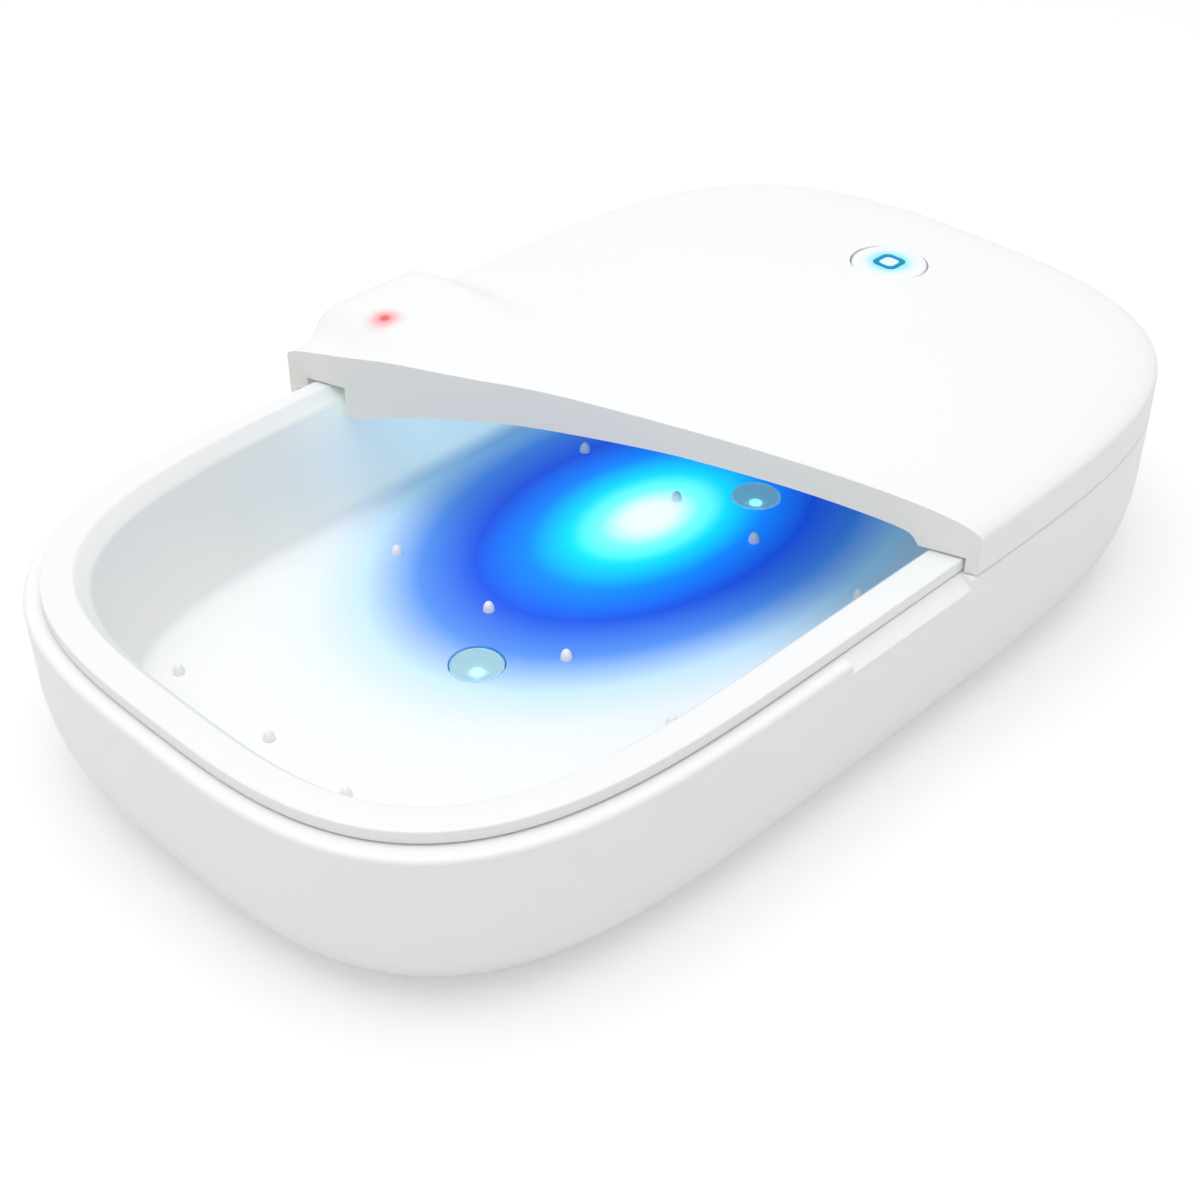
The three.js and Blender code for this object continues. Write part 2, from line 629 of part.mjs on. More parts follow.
function addChamberTub() {
  const bosses = coverScrews.map(({ x, y }) => solid(drum(
    BOSS_RADIUS, COVER_TOP + NEST_GAP, CHAMBER_FLOOR - SEAT_GAP, x, y, COARSE_STEPS,
  )));
  const pilotHoles = coverScrews.map(({ x, y }) => solid(drum(
    SCREW_SHANK_RADIUS + NEST_GAP, COVER_TOP, screwTip + NEST_GAP, x, y, COARSE_STEPS,
  )));
  const windowHoles = floorLamps.map(({ x }) => solid(drum(
    WINDOW_RADIUS + NEST_GAP, TUB_UNDERSIDE - OVERRUN, CHAMBER_FLOOR + OVERRUN, x, 0,
  )));
  const shell = cutFrom(joined([mouthRing(), tubOutside()]), [chamberSpace()]);
  const tub = cutFrom(joined([shell, ...bosses, ...floorPegs()]), [...pilotHoles, ...windowHoles]);
  addPiece('chamber_tub', surface(tub), WHITE_SATIN);
}

// Lamps and boards in the base

function window(bottom, x, y) {
  return drum(WINDOW_RADIUS, bottom, bottom + WINDOW_THICKNESS, x, y);
}

function led(bottom, x, y) {
  return block(
    [x - LED_SIDE / 2, x + LED_SIDE / 2],
    [y - LED_SIDE / 2, y + LED_SIDE / 2],
    [bottom, bottom + LED_HEIGHT],
  );
}

function addBaseLamps() {
  for (const { name, x } of floorLamps) {
    addPiece(`floor_window_${name}`, window(CHAMBER_FLOOR - WINDOW_THICKNESS, x, 0), WINDOW_CLEAR);
    addPiece(`floor_uv_led_${name}`, led(BOARD_TOP + SEAT_GAP, x, 0), LAMP_GLOW);
  }
}

function addMainBoard() {
  const plate = solid(block(
    [BOARD_START, BOARD_END], [-BOARD_HALF_WIDTH, BOARD_HALF_WIDTH], [BOARD_BOTTOM, BOARD_TOP],
  ));
  const tongueHalf = SOCKET_WIDTH / 2 + TONGUE_MARGIN;
  const tongue = solid(block(
    [SOCKET_X - tongueHalf, SOCKET_X + tongueHalf],
    [BOARD_HALF_WIDTH - OVERRUN, socketFace - BASE_WALL - TONGUE_MARGIN],
    [BOARD_BOTTOM, BOARD_TOP],
  ));
  addPiece('main_board', surface(plate.add(tongue)), BOARD_GREEN);
  const chip = block(
    [CHIP_X - CHIP_SIDE / 2, CHIP_X + CHIP_SIDE / 2],
    [CHIP_Y - CHIP_SIDE / 2, CHIP_Y + CHIP_SIDE / 2],
    [BOARD_TOP + SEAT_GAP, BOARD_TOP + SEAT_GAP + CHIP_HEIGHT],
  );
  addPiece('lamp_driver_chip', chip, CHIP_BLACK);
}

function addPowerSocket() {
  const half = SOCKET_WIDTH / 2;
  const body = solid(block(
    [SOCKET_X - half, SOCKET_X + half], [socketFace - SOCKET_DEPTH, socketFace], [socketBottom, socketTop],
  ));
  const mouth = solid(block(
    [SOCKET_X - half + SOCKET_WALL, SOCKET_X + half - SOCKET_WALL],
    [socketFace - SOCKET_DEPTH + SOCKET_WALL, socketFace + OVERRUN],
    [socketBottom + SOCKET_WALL, socketTop - SOCKET_WALL],
  ));
  const middle = (socketBottom + socketTop) / 2;
  const tongue = solid(block(
    [SOCKET_X - SOCKET_TONGUE_WIDTH / 2, SOCKET_X + SOCKET_TONGUE_WIDTH / 2],
    [socketFace - SOCKET_DEPTH, socketFace - SOCKET_WALL],
    [middle - SOCKET_TONGUE / 2, middle + SOCKET_TONGUE / 2],
  ));
  addPiece('power_socket', surface(body.subtract(mouth).add(tongue)), STEEL);
}

// Magnets that hold the lid shut: one pair in the base, one in the part of the lid that is shown

function magnet(x, bottom, height) {
  const y = -outlineY(x, (RING_MARGIN + RING_WALL + CHAMBER_MARGIN - TUB_WALL) / 2);
  return block(
    [x - MAGNET_LENGTH / 2, x + MAGNET_LENGTH / 2],
    [y - MAGNET_WIDTH / 2, y + MAGNET_WIDTH / 2],
    [bottom, bottom + height],
  );
}

function addMagnets() {
  const bottom = RING_TOP - RING_WALL - NEST_GAP - BASE_MAGNET_HEIGHT;
  addPiece('base_magnet_left', magnet(-MAGNET_X, bottom, BASE_MAGNET_HEIGHT), MAGNET_GREY);
  addPiece('base_magnet_right', magnet(MAGNET_X, bottom, BASE_MAGNET_HEIGHT), MAGNET_GREY);
  addPiece('lid_magnet', magnet(MAGNET_X, FLANGE_TOP + SEAT_GAP, LID_MAGNET_HEIGHT), MAGNET_GREY);
}

// Hinge: two knuckles on the base, the barrel that the lid's hump holds, and the pin

function knuckle(start, end) {
  const floor = RIM_Z - HINGE_RECESS_DROP + NEST_GAP;
  const front = HALF_WIDTH - BARREL_INSET;
  const outline = new THREE.Shape();
  outline.moveTo(front, floor);
  outline.lineTo(front + KNUCKLE_FOOT, floor);
  outline.lineTo(HINGE_Y + KNUCKLE_RADIUS, HINGE_Z);
  outline.absarc(HINGE_Y, HINGE_Z, KNUCKLE_RADIUS, 0, Math.PI, false);
  outline.lineTo(front, HINGE_Z - KNUCKLE_RADIUS);
  const bore = solid(rod(BORE_RADIUS, start - OVERRUN, end + OVERRUN));
  return solid(drawnAlongX(outline, start, end)).subtract(bore);
}

function addHinge() {
  addPiece('hinge_knuckle_left', surface(knuckle(-KNUCKLE_END, -KNUCKLE_START)), WHITE_SATIN);
  addPiece('hinge_knuckle_right', surface(knuckle(KNUCKLE_START, KNUCKLE_END)), WHITE_SATIN);
  addPiece('hinge_pin', rod(PIN_RADIUS, -KNUCKLE_END + NEST_GAP, KNUCKLE_END - NEST_GAP), STEEL);
}

// Lid casing

// Height of the crown at a share of the half width in from the lid's edge
function crownAt(inwardShare) {
  const run = 1 - (1 - Math.min(inwardShare, 1)) ** CROWN_RUN_POWER;
  return RIM_Z + LID_RISE * (CROWN_SIDE_SHARE + (1 - CROWN_SIDE_SHARE) * run ** CROWN_RISE_POWER);
}

// How much lower the crown lies towards the hinge, at a point of one of its rings
function eased(share) {
  const part = Math.min(Math.max(share, 0), 1);
  return part * part * (3 - 2 * part);
}

function rearFall(y, inwardShare) {
  const part = eased((y - HALF_WIDTH + REAR_FALL_MARGIN) / REAR_FALL_RUN);
  return REAR_FALL * part * (1 - (1 - inwardShare) ** REAR_FALL_POWER);
}

function crownRings(wall) {
  const crown = CROWN_STATION_SHARES.map((inwardShare) => {
    const inset = inwardShare * HALF_WIDTH;
    const halfLength = HALF_LENGTH - inset * LID_END_FLATNESS - wall;
    return ring(halfLength, HALF_WIDTH - inset - wall, crownAt(inwardShare) - wall)
      .map((point) => point.setZ(point.z - rearFall(point.y, inwardShare)));
  });
  return [insetRing(wall, wall > 0 ? LID_BOTTOM - OVERRUN : LID_BOTTOM), ...crown];
}

function lidOutside() {
  return solid(loft(crownRings(0)));
}

// The raised hump that covers the hinge, faired into the lid on both sides
function hump() {
  const stations = HUMP_FAIRING_SHARES.map(([along, full]) => {
    const rear = HALF_WIDTH + HUMP_REACH - HUMP_FADE_REACH * (1 - full) - HUMP_ROOT;
    const rise = HUMP_RISE - HUMP_FADE_RISE * (1 - full);
    const x = along * (along < 0 ? HUMP_LEFT_LENGTH : HUMP_RIGHT_LENGTH);
    const arc = HUMP_ARC_SHARES.map((outward) => {
      const y = HUMP_ROOT + rear * outward;
      const lift = HUMP_LIFT * full * eased((y - HALF_WIDTH + HUMP_LIFT_MARGIN) / HUMP_LIFT_RUN);
      const height = (rise + lift - LID_GAP) * (1 - outward ** HUMP_POWER) ** (1 / HUMP_POWER);
      return new THREE.Vector3(x, y, LID_BOTTOM + height);
    });
    return [new THREE.Vector3(x, HUMP_ROOT, LID_BOTTOM), ...arc];
  });
  return solid(loft(stations));
}

function linerScrews() {
  return [MAGNET_X - LINER_SCREW_MAGNET_MARGIN, HALF_LENGTH - LINER_SCREW_END_MARGIN].flatMap((x, index) => {
    const y = outlineY(x, LINER_SCREW_MARGIN);
    const place = index === 0 ? 'near' : 'far';
    return [{ name: `front_${place}`, x, y: -y }, { name: `rear_${place}`, x, y }];
  });
}

// The part of the lid's rear wall that reaches down into the recess in the base
function hingeSkirt() {
  const bottom = LID_BOTTOM - SKIRT_DROP;
  const top = LID_BOTTOM + OVERRUN;
  const half = HINGE_RECESS_LENGTH / 2 - SKIRT_END_GAP;
  const rear = solid(block([-half, half], [0, WIDTH], [bottom, top]));
  return straightLoft(0, bottom, top)
    .subtract(straightLoft(SKIRT_WALL, bottom - OVERRUN, top + OVERRUN))
    .intersect(rear);
}

const lidTrim = SECTION_PLATE + NEST_GAP;
const crownAtButton = crownAt(BUTTON_END_MARGIN / (LID_END_FLATNESS * HALF_WIDTH));
const buttonTop = crownAtButton + BUTTON_PROUD;
const buttonSeat = crownAtButton - BUTTON_SEAT_SKIN;
const buttonPocketTop = buttonTop - BUTTON_SKIN;

function addLidShell() {
  const cavity = solid(loft(crownRings(LID_WALL)));
  const barrelSpace = solid(block(
    [-BARREL_HALF_LENGTH, BARREL_HALF_LENGTH],
    [HALF_WIDTH - BARREL_INSET, HALF_WIDTH + HUMP_REACH + OVERRUN],
    [LID_BOTTOM, RIM_Z + LID_RISE],
  ));
  const barrel = hump().intersect(barrelSpace);
  const knuckleWindows = [[-KNUCKLE_END, -BARREL_HALF_LENGTH], [BARREL_HALF_LENGTH, KNUCKLE_END]]
    .map(([start, end]) => solid(block(
      [start < 0 ? start - NEST_GAP : start, end > 0 ? end + NEST_GAP : end],
      [HALF_WIDTH - BARREL_INSET - OVERRUN, HALF_WIDTH + HUMP_REACH + OVERRUN],
      [RIM_Z - HINGE_RECESS_DROP, HINGE_Z + KNUCKLE_WINDOW_RISE],
    )));
  const screwPlaces = linerScrews();
  const bosses = screwPlaces.map(({ x, y }) => (
    solid(drum(LINER_BOSS_RADIUS, FLANGE_TOP + NEST_GAP, RIM_Z + LID_RISE, x, y, COARSE_STEPS))
      .intersect(lidOutside())
  ));
  const pilotHoles = screwPlaces.map(({ x, y }) => solid(drum(
    LINER_SHANK_RADIUS + NEST_GAP / 2, FLANGE_TOP, LINER_BOTTOM + LINER_SCREW_LENGTH + 2 * NEST_GAP, x, y,
    COARSE_STEPS,
  )));
  const buttonHole = solid(drum(BUTTON_RADIUS + BUTTON_GAP, CEILING_TOP, buttonTop + OVERRUN, BUTTON_X, 0));
  const buttonRelief = solid(drum(
    BUTTON_RADIUS + BUTTON_FLANGE + BUTTON_GAP, CEILING_TOP, buttonSeat, BUTTON_X, 0,
  ));
  const skin = joined([lidOutside(), hump()]).subtract(cavity);
  const shell = cutFrom(joined([skin, hingeSkirt(), barrel, ...bosses]), [
    ...knuckleWindows,
    ...pilotHoles,
    buttonHole,
    buttonRelief,
    solid(rod(BORE_RADIUS, -KNUCKLE_START, KNUCKLE_START)),
  ]).intersect(keptSide(lidTrim));
  addPiece('lid_shell', surface(shell), WHITE_GLOSS);
}

// Lid liner: the arched ceiling of the chamber, its lip inside the mouth and its flange

function ceilingRings(wall) {
  const halfLength = HALF_LENGTH - CEILING_MARGIN;
  const halfWidth = HALF_WIDTH - CEILING_MARGIN;
  return CEILING_RING_SHARES.map(({ drop = 0, rise = 0, length, front, rear }) => {
    const z = RIM_Z + rise * CEILING_RISE - drop * LINER_LIP_DROP;
    const half = halfWidth * (front + rear) / 2;
    const shift = halfWidth * (rear - front) / 2;
    return ring(halfLength * length + wall, half + wall, z + (drop < 1 ? wall : 0), CHAMBER_POWERS, shift);
  });
}

function ceilingSpace() {
  const [mouth, ...rest] = ceilingRings(0);
  const below = mouth.map((point) => point.clone().setZ(point.z - OVERRUN));
  return solid(loft([below, mouth, ...rest]));
}

// The lip inside the mouth, which is deepest at the hinge and runs out towards the front
function linerLip(innerInset) {
  const outer = CEILING_MARGIN - LINER_WALL;
  const bottom = RIM_Z - LINER_LIP_DROP;
  const lip = straightLoft(outer, bottom, FLANGE_TOP, CHAMBER_POWERS);
  const slopeEnd = new THREE.Vector2(HALF_WIDTH - LIP_SLOPE_END_MARGIN, bottom);
  const slopeStart = new THREE.Vector2(HALF_WIDTH - LIP_SLOPE_START_MARGIN, LINER_BOTTOM);
  const below = new THREE.Shape([
    new THREE.Vector2(-WIDTH, LINER_BOTTOM),
    new THREE.Vector2(-WIDTH, bottom - OVERRUN),
    new THREE.Vector2(slopeEnd.x, bottom - OVERRUN),
    slopeEnd,
    slopeStart,
  ]);
  const sloped = lip.subtract(solid(drawnAlongX(below, -LENGTH, LENGTH)));
  if (innerInset === undefined) return sloped;
  return sloped.subtract(straightLoft(innerInset, bottom - OVERRUN, FLANGE_TOP + OVERRUN, CHAMBER_POWERS));
}

function linerOutside() {
  return solid(loft(ceilingRings(LINER_WALL)));
}

const upperLamps = [{ name: 'near', x: UPPER_LAMP_NEAR_X }, { name: 'far', x: UPPER_LAMP_FAR_X }];

function addLidLiner() {
  const screwPlaces = linerScrews();
  const headPockets = screwPlaces.map(({ x, y }) => solid(drum(
    LINER_HEAD_RADIUS + NEST_GAP, LINER_BOTTOM - OVERRUN, LINER_BOTTOM + LINER_HEAD_HEIGHT + NEST_GAP, x, y,
    COARSE_STEPS,
  )));
  const shankHoles = screwPlaces.map(({ x, y }) => solid(drum(
    LINER_SHANK_RADIUS + NEST_GAP / 2, LINER_BOTTOM, FLANGE_TOP + OVERRUN, x, y, COARSE_STEPS,
  )));
  const windowHoles = upperLamps.map(({ x }) => solid(drum(
    WINDOW_RADIUS + NEST_GAP, RIM_Z + CEILING_RISE / 2, CEILING_TOP + LINER_WALL + OVERRUN, x, UPPER_LAMP_Y,
  )));
  const flange = straightLoft(LINER_FLANGE_MARGIN, LINER_BOTTOM, FLANGE_TOP);
  const belowLip = solid(block(
    [-LENGTH, LENGTH], [-WIDTH, WIDTH], [RIM_Z - LINER_LIP_DROP - OVERRUN, LINER_BOTTOM],
  ));
  const arch = linerOutside();
  const lowArch = arch.intersect(belowLip).intersect(linerLip());
  const liner = cutFrom(joined([flange, arch.subtract(belowLip), lowArch, linerLip(CEILING_MARGIN)]), [
    ceilingSpace(),
    ...headPockets,
    ...shankHoles,
    ...windowHoles,
  ]).intersect(keptSide(lidTrim));
  addPiece('lid_liner', surface(liner), WHITE_SATIN);
}

function addLinerScrews() {
  const profile = screwProfile(LINER_HEAD_RADIUS, LINER_HEAD_HEIGHT, LINER_SHANK_RADIUS, LINER_SCREW_LENGTH);
  for (const { name, x, y } of linerScrews()) {
    addPiece(`liner_screw_${name}`, turned(profile, x, y, LINER_BOTTOM + SEAT_GAP, COARSE_STEPS), STEEL);
  }
}

// The plate that closes the cut end of the lid, in the full shape of the section
function addSectionPlate() {
  const ringSpace = straightLoft(LINER_FLANGE_MARGIN - OVERRUN, LID_BOTTOM - OVERRUN, LINER_BOTTOM);
  const frontHalf = solid(block(
    [-HALF_LENGTH, HALF_LENGTH], [-HALF_WIDTH, 0], [LID_BOTTOM - OVERRUN, LINER_BOTTOM],
  ));
  const overhangSpace = straightLoft(
    RING_MARGIN - RING_OVERHANG - GROOVE_WIDTH, LID_BOTTOM - OVERRUN, LINER_BOTTOM,
  ).intersect(frontHalf);
  const cover = cutFrom(lidOutside(), [ringSpace, overhangSpace]);
  const slab = keptSide(0).subtract(keptSide(SECTION_PLATE));
  const plate = joined([cover, hingeSkirt(), linerLip()])
    .subtract(ceilingSpace())
    .intersect(slab);
  addPiece('section_plate', surface(plate), SECTION_GREY);
}

// Lamps, board, indicator and switch in the lid

function addLidElectronics() {
  const board = block(
    [UPPER_LAMP_NEAR_X - LID_BOARD_LAMP_MARGIN, BUTTON_X + LID_BOARD_SWITCH_MARGIN],
    [-LID_BOARD_FRONT, LID_BOARD_REAR],
    [LID_BOARD_BOTTOM, LID_BOARD_TOP],
  );
  addPiece('lid_board', board, BOARD_GREEN);
  for (const { name, x } of upperLamps) {
    const ledBottom = LID_BOARD_BOTTOM - SEAT_GAP - LED_HEIGHT;
    addPiece(`ceiling_uv_led_${name}`, led(ledBottom, x, UPPER_LAMP_Y), LAMP_GLOW);
    const windowBottom = ledBottom - NEST_GAP - WINDOW_THICKNESS;
    addPiece(`ceiling_window_${name}`, window(windowBottom, x, UPPER_LAMP_Y), WINDOW_CLEAR);
  }
  const indicatorBottom = FLANGE_TOP + SEAT_GAP;
  const indicatorY = HALF_WIDTH - INDICATOR_MARGIN;
  addPiece('indicator_led', drum(
    INDICATOR_RADIUS, indicatorBottom, indicatorBottom + INDICATOR_HEIGHT, INDICATOR_X, indicatorY,
    COARSE_STEPS,
  ), INDICATOR_RED);
}

function addButtonSwitch() {
  const bottom = LID_BOARD_TOP + SEAT_GAP;
  const half = SWITCH_SIDE / 2;
  const top = bottom + SWITCH_HEIGHT;
  const body = solid(block([BUTTON_X - half, BUTTON_X + half], [-half, half], [bottom, top]));
  const plunger = solid(drum(
    SWITCH_PLUNGER_RADIUS, top - SWITCH_HEIGHT / 2, buttonPocketTop - BUTTON_TRAVEL - SEAT_GAP, BUTTON_X, 0,
    COARSE_STEPS,
  ));
  addPiece('button_switch', surface(body.add(plunger)), CHIP_BLACK);
}

// Power button: a crowned cap with a flange under the lid's skin, and its lit icon

function roundedSquare(half, corner) {
  const outline = new THREE.Shape();
  outline.absarc(half - corner, half - corner, corner, 0, Math.PI / 2, false);
  outline.absarc(corner - half, half - corner, corner, Math.PI / 2, Math.PI, false);
  outline.absarc(corner - half, corner - half, corner, Math.PI, 1.5 * Math.PI, false);
  outline.absarc(half - corner, corner - half, corner, 1.5 * Math.PI, 2 * Math.PI, false);
  return outline;
}

function iconRing(grow, bottom, top) {
  const outline = roundedSquare(ICON_SIDE / 2 + grow, ICON_CORNER + grow);
  outline.holes.push(roundedSquare(ICON_SIDE / 2 - ICON_LINE - grow, ICON_CORNER - ICON_LINE / 2 - grow));
  const geometry = new THREE.ExtrudeGeometry(outline, {
    depth: top - bottom, bevelEnabled: false, curveSegments: SMALL_STEPS / 2,
  });
  return geometry.translate(BUTTON_X, 0, bottom);
}

function addButton() {
  const flangeTop = buttonSeat - SEAT_GAP;
  const flangeBottom = flangeTop - BUTTON_FLANGE_THICKNESS;
  const flangeRadius = BUTTON_RADIUS + BUTTON_FLANGE;
  const shoulder = buttonTop - BUTTON_CROWN;
  const pocketRadius = SWITCH_SIDE / 2 * Math.SQRT2 + 2 * NEST_GAP;
  const profile = [[0, flangeBottom], [flangeRadius, flangeBottom], [flangeRadius, flangeTop],
    [BUTTON_RADIUS, flangeTop], [BUTTON_RADIUS, shoulder - BUTTON_CROWN],
    [BUTTON_RADIUS - BUTTON_CROWN, shoulder], [BUTTON_RADIUS / 2, buttonTop], [0, buttonTop]];
  const iconBottom = buttonTop + ICON_PROUD - ICON_THICKNESS;
  const cap = cutFrom(solid(turned(profile, BUTTON_X, 0, 0)), [
    solid(drum(pocketRadius, flangeBottom - OVERRUN, buttonPocketTop, BUTTON_X, 0)),
    solid(iconRing(ICON_GAP, iconBottom - ICON_GAP, buttonTop + OVERRUN)),
  ]);
  addPiece('button_cap', surface(cap), WHITE_GLOSS);
  addPiece('button_icon', iconRing(0, iconBottom, buttonTop + ICON_PROUD), ICON_TEAL);
}

addBaseShell();
addBottomCover();
addFeet();
addCoverScrews();
addChamberTub();
addBaseLamps();
addMainBoard();
addPowerSocket();
addMagnets();
addHinge();
addLidShell();
addLidLiner();
addLinerScrews();
addSectionPlate();
addLidElectronics();
addButtonSwitch();
addButton();

export default box;
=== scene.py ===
"""An ultraviolet sanitizer box for telephones: satin white shells, lit lamps, a pale studio."""

import json
import math

import bmesh
import bpy
from mathutils import Matrix, Vector


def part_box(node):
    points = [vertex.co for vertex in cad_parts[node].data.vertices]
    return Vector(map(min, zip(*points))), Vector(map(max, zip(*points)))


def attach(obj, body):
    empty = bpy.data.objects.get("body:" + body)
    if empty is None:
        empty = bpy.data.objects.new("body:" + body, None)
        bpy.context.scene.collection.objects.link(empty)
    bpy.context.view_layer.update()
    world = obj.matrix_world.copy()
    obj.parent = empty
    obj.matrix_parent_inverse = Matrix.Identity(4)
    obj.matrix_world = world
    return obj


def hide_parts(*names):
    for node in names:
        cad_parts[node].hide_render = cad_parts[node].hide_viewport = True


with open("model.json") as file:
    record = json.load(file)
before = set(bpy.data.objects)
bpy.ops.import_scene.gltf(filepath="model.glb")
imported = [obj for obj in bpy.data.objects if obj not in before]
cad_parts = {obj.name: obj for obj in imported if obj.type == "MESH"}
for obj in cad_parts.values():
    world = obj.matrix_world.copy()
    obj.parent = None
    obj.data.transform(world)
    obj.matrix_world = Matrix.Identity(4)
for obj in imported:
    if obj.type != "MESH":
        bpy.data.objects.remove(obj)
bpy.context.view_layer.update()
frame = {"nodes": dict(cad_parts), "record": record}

MM = 0.001
GAP = 0.3 * MM
OVER = 1 * MM
MERGE_DISTANCE = 0.001 * MM
SMOOTH_ANGLE = math.radians(32)

# Overall form
HALF_LENGTH = 107 * MM
HALF_WIDTH = 66 * MM
CASE_Y = -2.25 * MM
FRONT = CASE_Y - HALF_WIDTH
REAR = CASE_Y + HALF_WIDTH
RIM_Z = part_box("base_shell")[1].z
BASE_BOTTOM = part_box("base_shell")[0].z
CASE_POWERS = (4.5, 3.07)
CHAMBER_POWERS = (5.0, 3.235)
COLUMNS = 288

# Base casing
END_TUCK = 21.2 * MM
SIDE_TUCK = 18.6 * MM
TUCK_POWER = 3.9
SIDE_STEPS = 22
BASE_WALL = 2.4 * MM
BASE_FLOOR = 4.2 * MM
BAND_WIDTH = 4.6 * MM
BAND_DEPTH = 4.2 * MM
BAND_ROUND = 0.9 * MM
SCOOP_LENGTH = 32 * MM
SCOOP_DROP = 2.1 * MM
SCOOP_REACH = 2.7 * MM
RECESS_HALF_LENGTH = 40 * MM
RECESS_DROP = 2.7 * MM

# Bottom cover, feet and screws
CORNERS = ("front_left", "front_right", "rear_left", "rear_right")
COVER_MARGINS = (4.1 * MM, 3.7 * MM)
COVER_THICKNESS = 2.4 * MM
COVER_LEDGE = 2.8 * MM
FOOT_RADIUS = 6 * MM
FOOT_SINK = 0.9 * MM
SCREW_HEAD_RADIUS = 2.5 * MM
SCREW_HEAD_SINK = 1.2 * MM
SCREW_HOLE_RADIUS = 1.4 * MM
COVER_EDGE = 0.5 * MM
COVER_SCREW_CROSS = (2.9 * MM, 0.7 * MM)
LINER_SCREW_CROSS = (1.8 * MM, 0.5 * MM)
LINER_SCREWS = ("front_near", "rear_near", "front_far", "rear_far")

# Power socket
SOCKET_PLAY = 0.2 * MM
SOCKET_RUN = 6 * MM
SOCKET_HOLE_ROUND = 1.7 * MM
SOCKET_ROUND = 1.6 * MM
SOCKET_MOUTH_ROUND = 1.2 * MM
SOCKET_WALL = 0.45 * MM
TONGUE_HALF_LENGTH = 2.8 * MM
TONGUE_HALF_HEIGHT = 0.35 * MM
TONGUE_SETBACK = 0.6 * MM
TONGUE_EDGE = 0.1 * MM
CONTACT_COUNT = 8
CONTACT_SIZE = (0.3 * MM, 4 * MM, 0.74 * MM)
CONTACT_PITCH = 0.62 * MM
CONTACT_SETBACK = 3.2 * MM
CONTACT_EDGE = 0.03 * MM

# Chamber tub
RING_MARGIN = 5.1 * MM
RING_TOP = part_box("chamber_tub")[1].z
RING_WALL = 1.8 * MM
RING_EDGE = 0.3 * MM
RING_SEAM = 0.4 * MM
OVERHANG_MARGIN = 2.8 * MM
OVERHANG_REAR = CASE_Y + 60.4 * MM
TUB_WALL = 1.8 * MM
CHAMBER_DEPTH = 24.3 * MM
CHAMBER_FLOOR = RIM_Z - CHAMBER_DEPTH
CHAMBER_MARGIN = 10.8 * MM
CHAMBER_DRAFT = 3.5 * MM
CHAMBER_FILLET = 1.8 * MM
CHAMBER_BEVEL = 2.3 * MM
MOUTH_EDGE = 0.25 * MM
PEG_RADIUS = 1.1 * MM
PEG_HEIGHT = 2 * MM
PEG_SINK = 0.5 * MM
PEG_COLUMNS = (-76.8 * MM, -25.6 * MM, 25.6 * MM, 76.8 * MM)
PEG_ROWS = (-36 * MM, -10.2 * MM, 10.2 * MM, 36 * MM)
WINDOW_RADIUS = 5 * MM

# Hinge
HINGE_Y = CASE_Y + 66.5 * MM
HINGE_Z = RIM_Z + 3 * MM
BORE_RADIUS = 1.3 * MM
KNUCKLE_RADIUS = 2.6 * MM
KNUCKLE_FOOT = 3.6 * MM
BARREL_HALF_LENGTH = 9.3 * MM
BARREL_INSET = 3.8 * MM
KNUCKLE_WINDOW_RISE = 3.4 * MM
HINGE_EDGE = 0.25 * MM

# Lid
LID_BOTTOM = RIM_Z + GAP
LID_RISE = 14 * MM
LID_WALL = 2.2 * MM
LID_EDGE = 0.25 * MM
LID_END_FLATNESS = 0.8
CROWN_LEAST = 0.5 * MM
SIDE_SHARE = 0.5
CROWN_POWERS = (2.2, 0.45)
CROWN_SHARES = (0, 0.0006, 0.003, 0.008, 0.016, 0.028, 0.045, 0.07, 0.1, 0.14, 0.19, 0.25, 0.32,
                0.4, 0.5, 0.6, 0.7, 0.8, 0.88, 0.94, 0.985)
REAR_FALL = 1.65 * MM
REAR_FALL_START = 8 * MM
REAR_FALL_RUN = 34 * MM
REAR_FALL_POWER = 14
SKIRT_DROP = 2.1 * MM
SKIRT_INSET = 0.02 * MM
SKIRT_WALL = 1.6 * MM
SKIRT_HALF_LENGTH = 39.3 * MM
HUMP_REACH = 4.5 * MM
HUMP_RISE = 12.2 * MM
HUMP_ROOT = 26 * MM
HUMP_LEFT_LENGTH = 21 * MM
HUMP_RIGHT_LENGTH = 16.5 * MM
HUMP_FLAT_SHARE = 0.45
HUMP_LIFT = 1.7 * MM
HUMP_LIFT_START = 36 * MM
HUMP_LIFT_RUN = 16 * MM
HUMP_POWER = 7
SECTION_X = -3.9 * MM
SECTION_ANGLE = math.radians(17.7)
SECTION_NORMAL = Vector((math.cos(SECTION_ANGLE), math.sin(SECTION_ANGLE), 0.0))
SECTION_PLATE = 1.8 * MM
OVERHANG_ROOM = 0.5 * MM

# Lid liner
LINER_WALL = 1.3 * MM
ARCH_WALL = 1.1 * MM
LIP_FILL = 0.6 * MM
LINER_BOTTOM = RING_TOP + 0.4 * MM
LINER_FLANGE = 2.2 * MM
LINER_FLANGE_MARGIN = 4.9 * MM
LIP_DROP = 3.5 * MM
LIP_SLOPE_LOW = (54 * MM, -3.5 * MM)
LIP_SLOPE_HIGH = (14 * MM, 3.1 * MM)
CEILING_MARGIN = 13.3 * MM
CEILING_RISE = 8 * MM
CEILING_RINGS = (
    (-3.5, 1.0, 1.065, 1.0), (-0.6, 0.99, 1.065, 0.835), (2.0, 0.975, 1.06, 0.653),
    (4.0, 0.95, 1.045, 0.474), (5.6, 0.91, 1.0, 0.298), (6.88, 0.83, 0.825, 0.066),
    (7.72, 0.7, 0.607, -0.142), (8.0, 0.55, 0.38, -0.247),
)
LINER_HEAD_RADIUS = 1.6 * MM
LINER_HEAD_SINK = 1.1 * MM
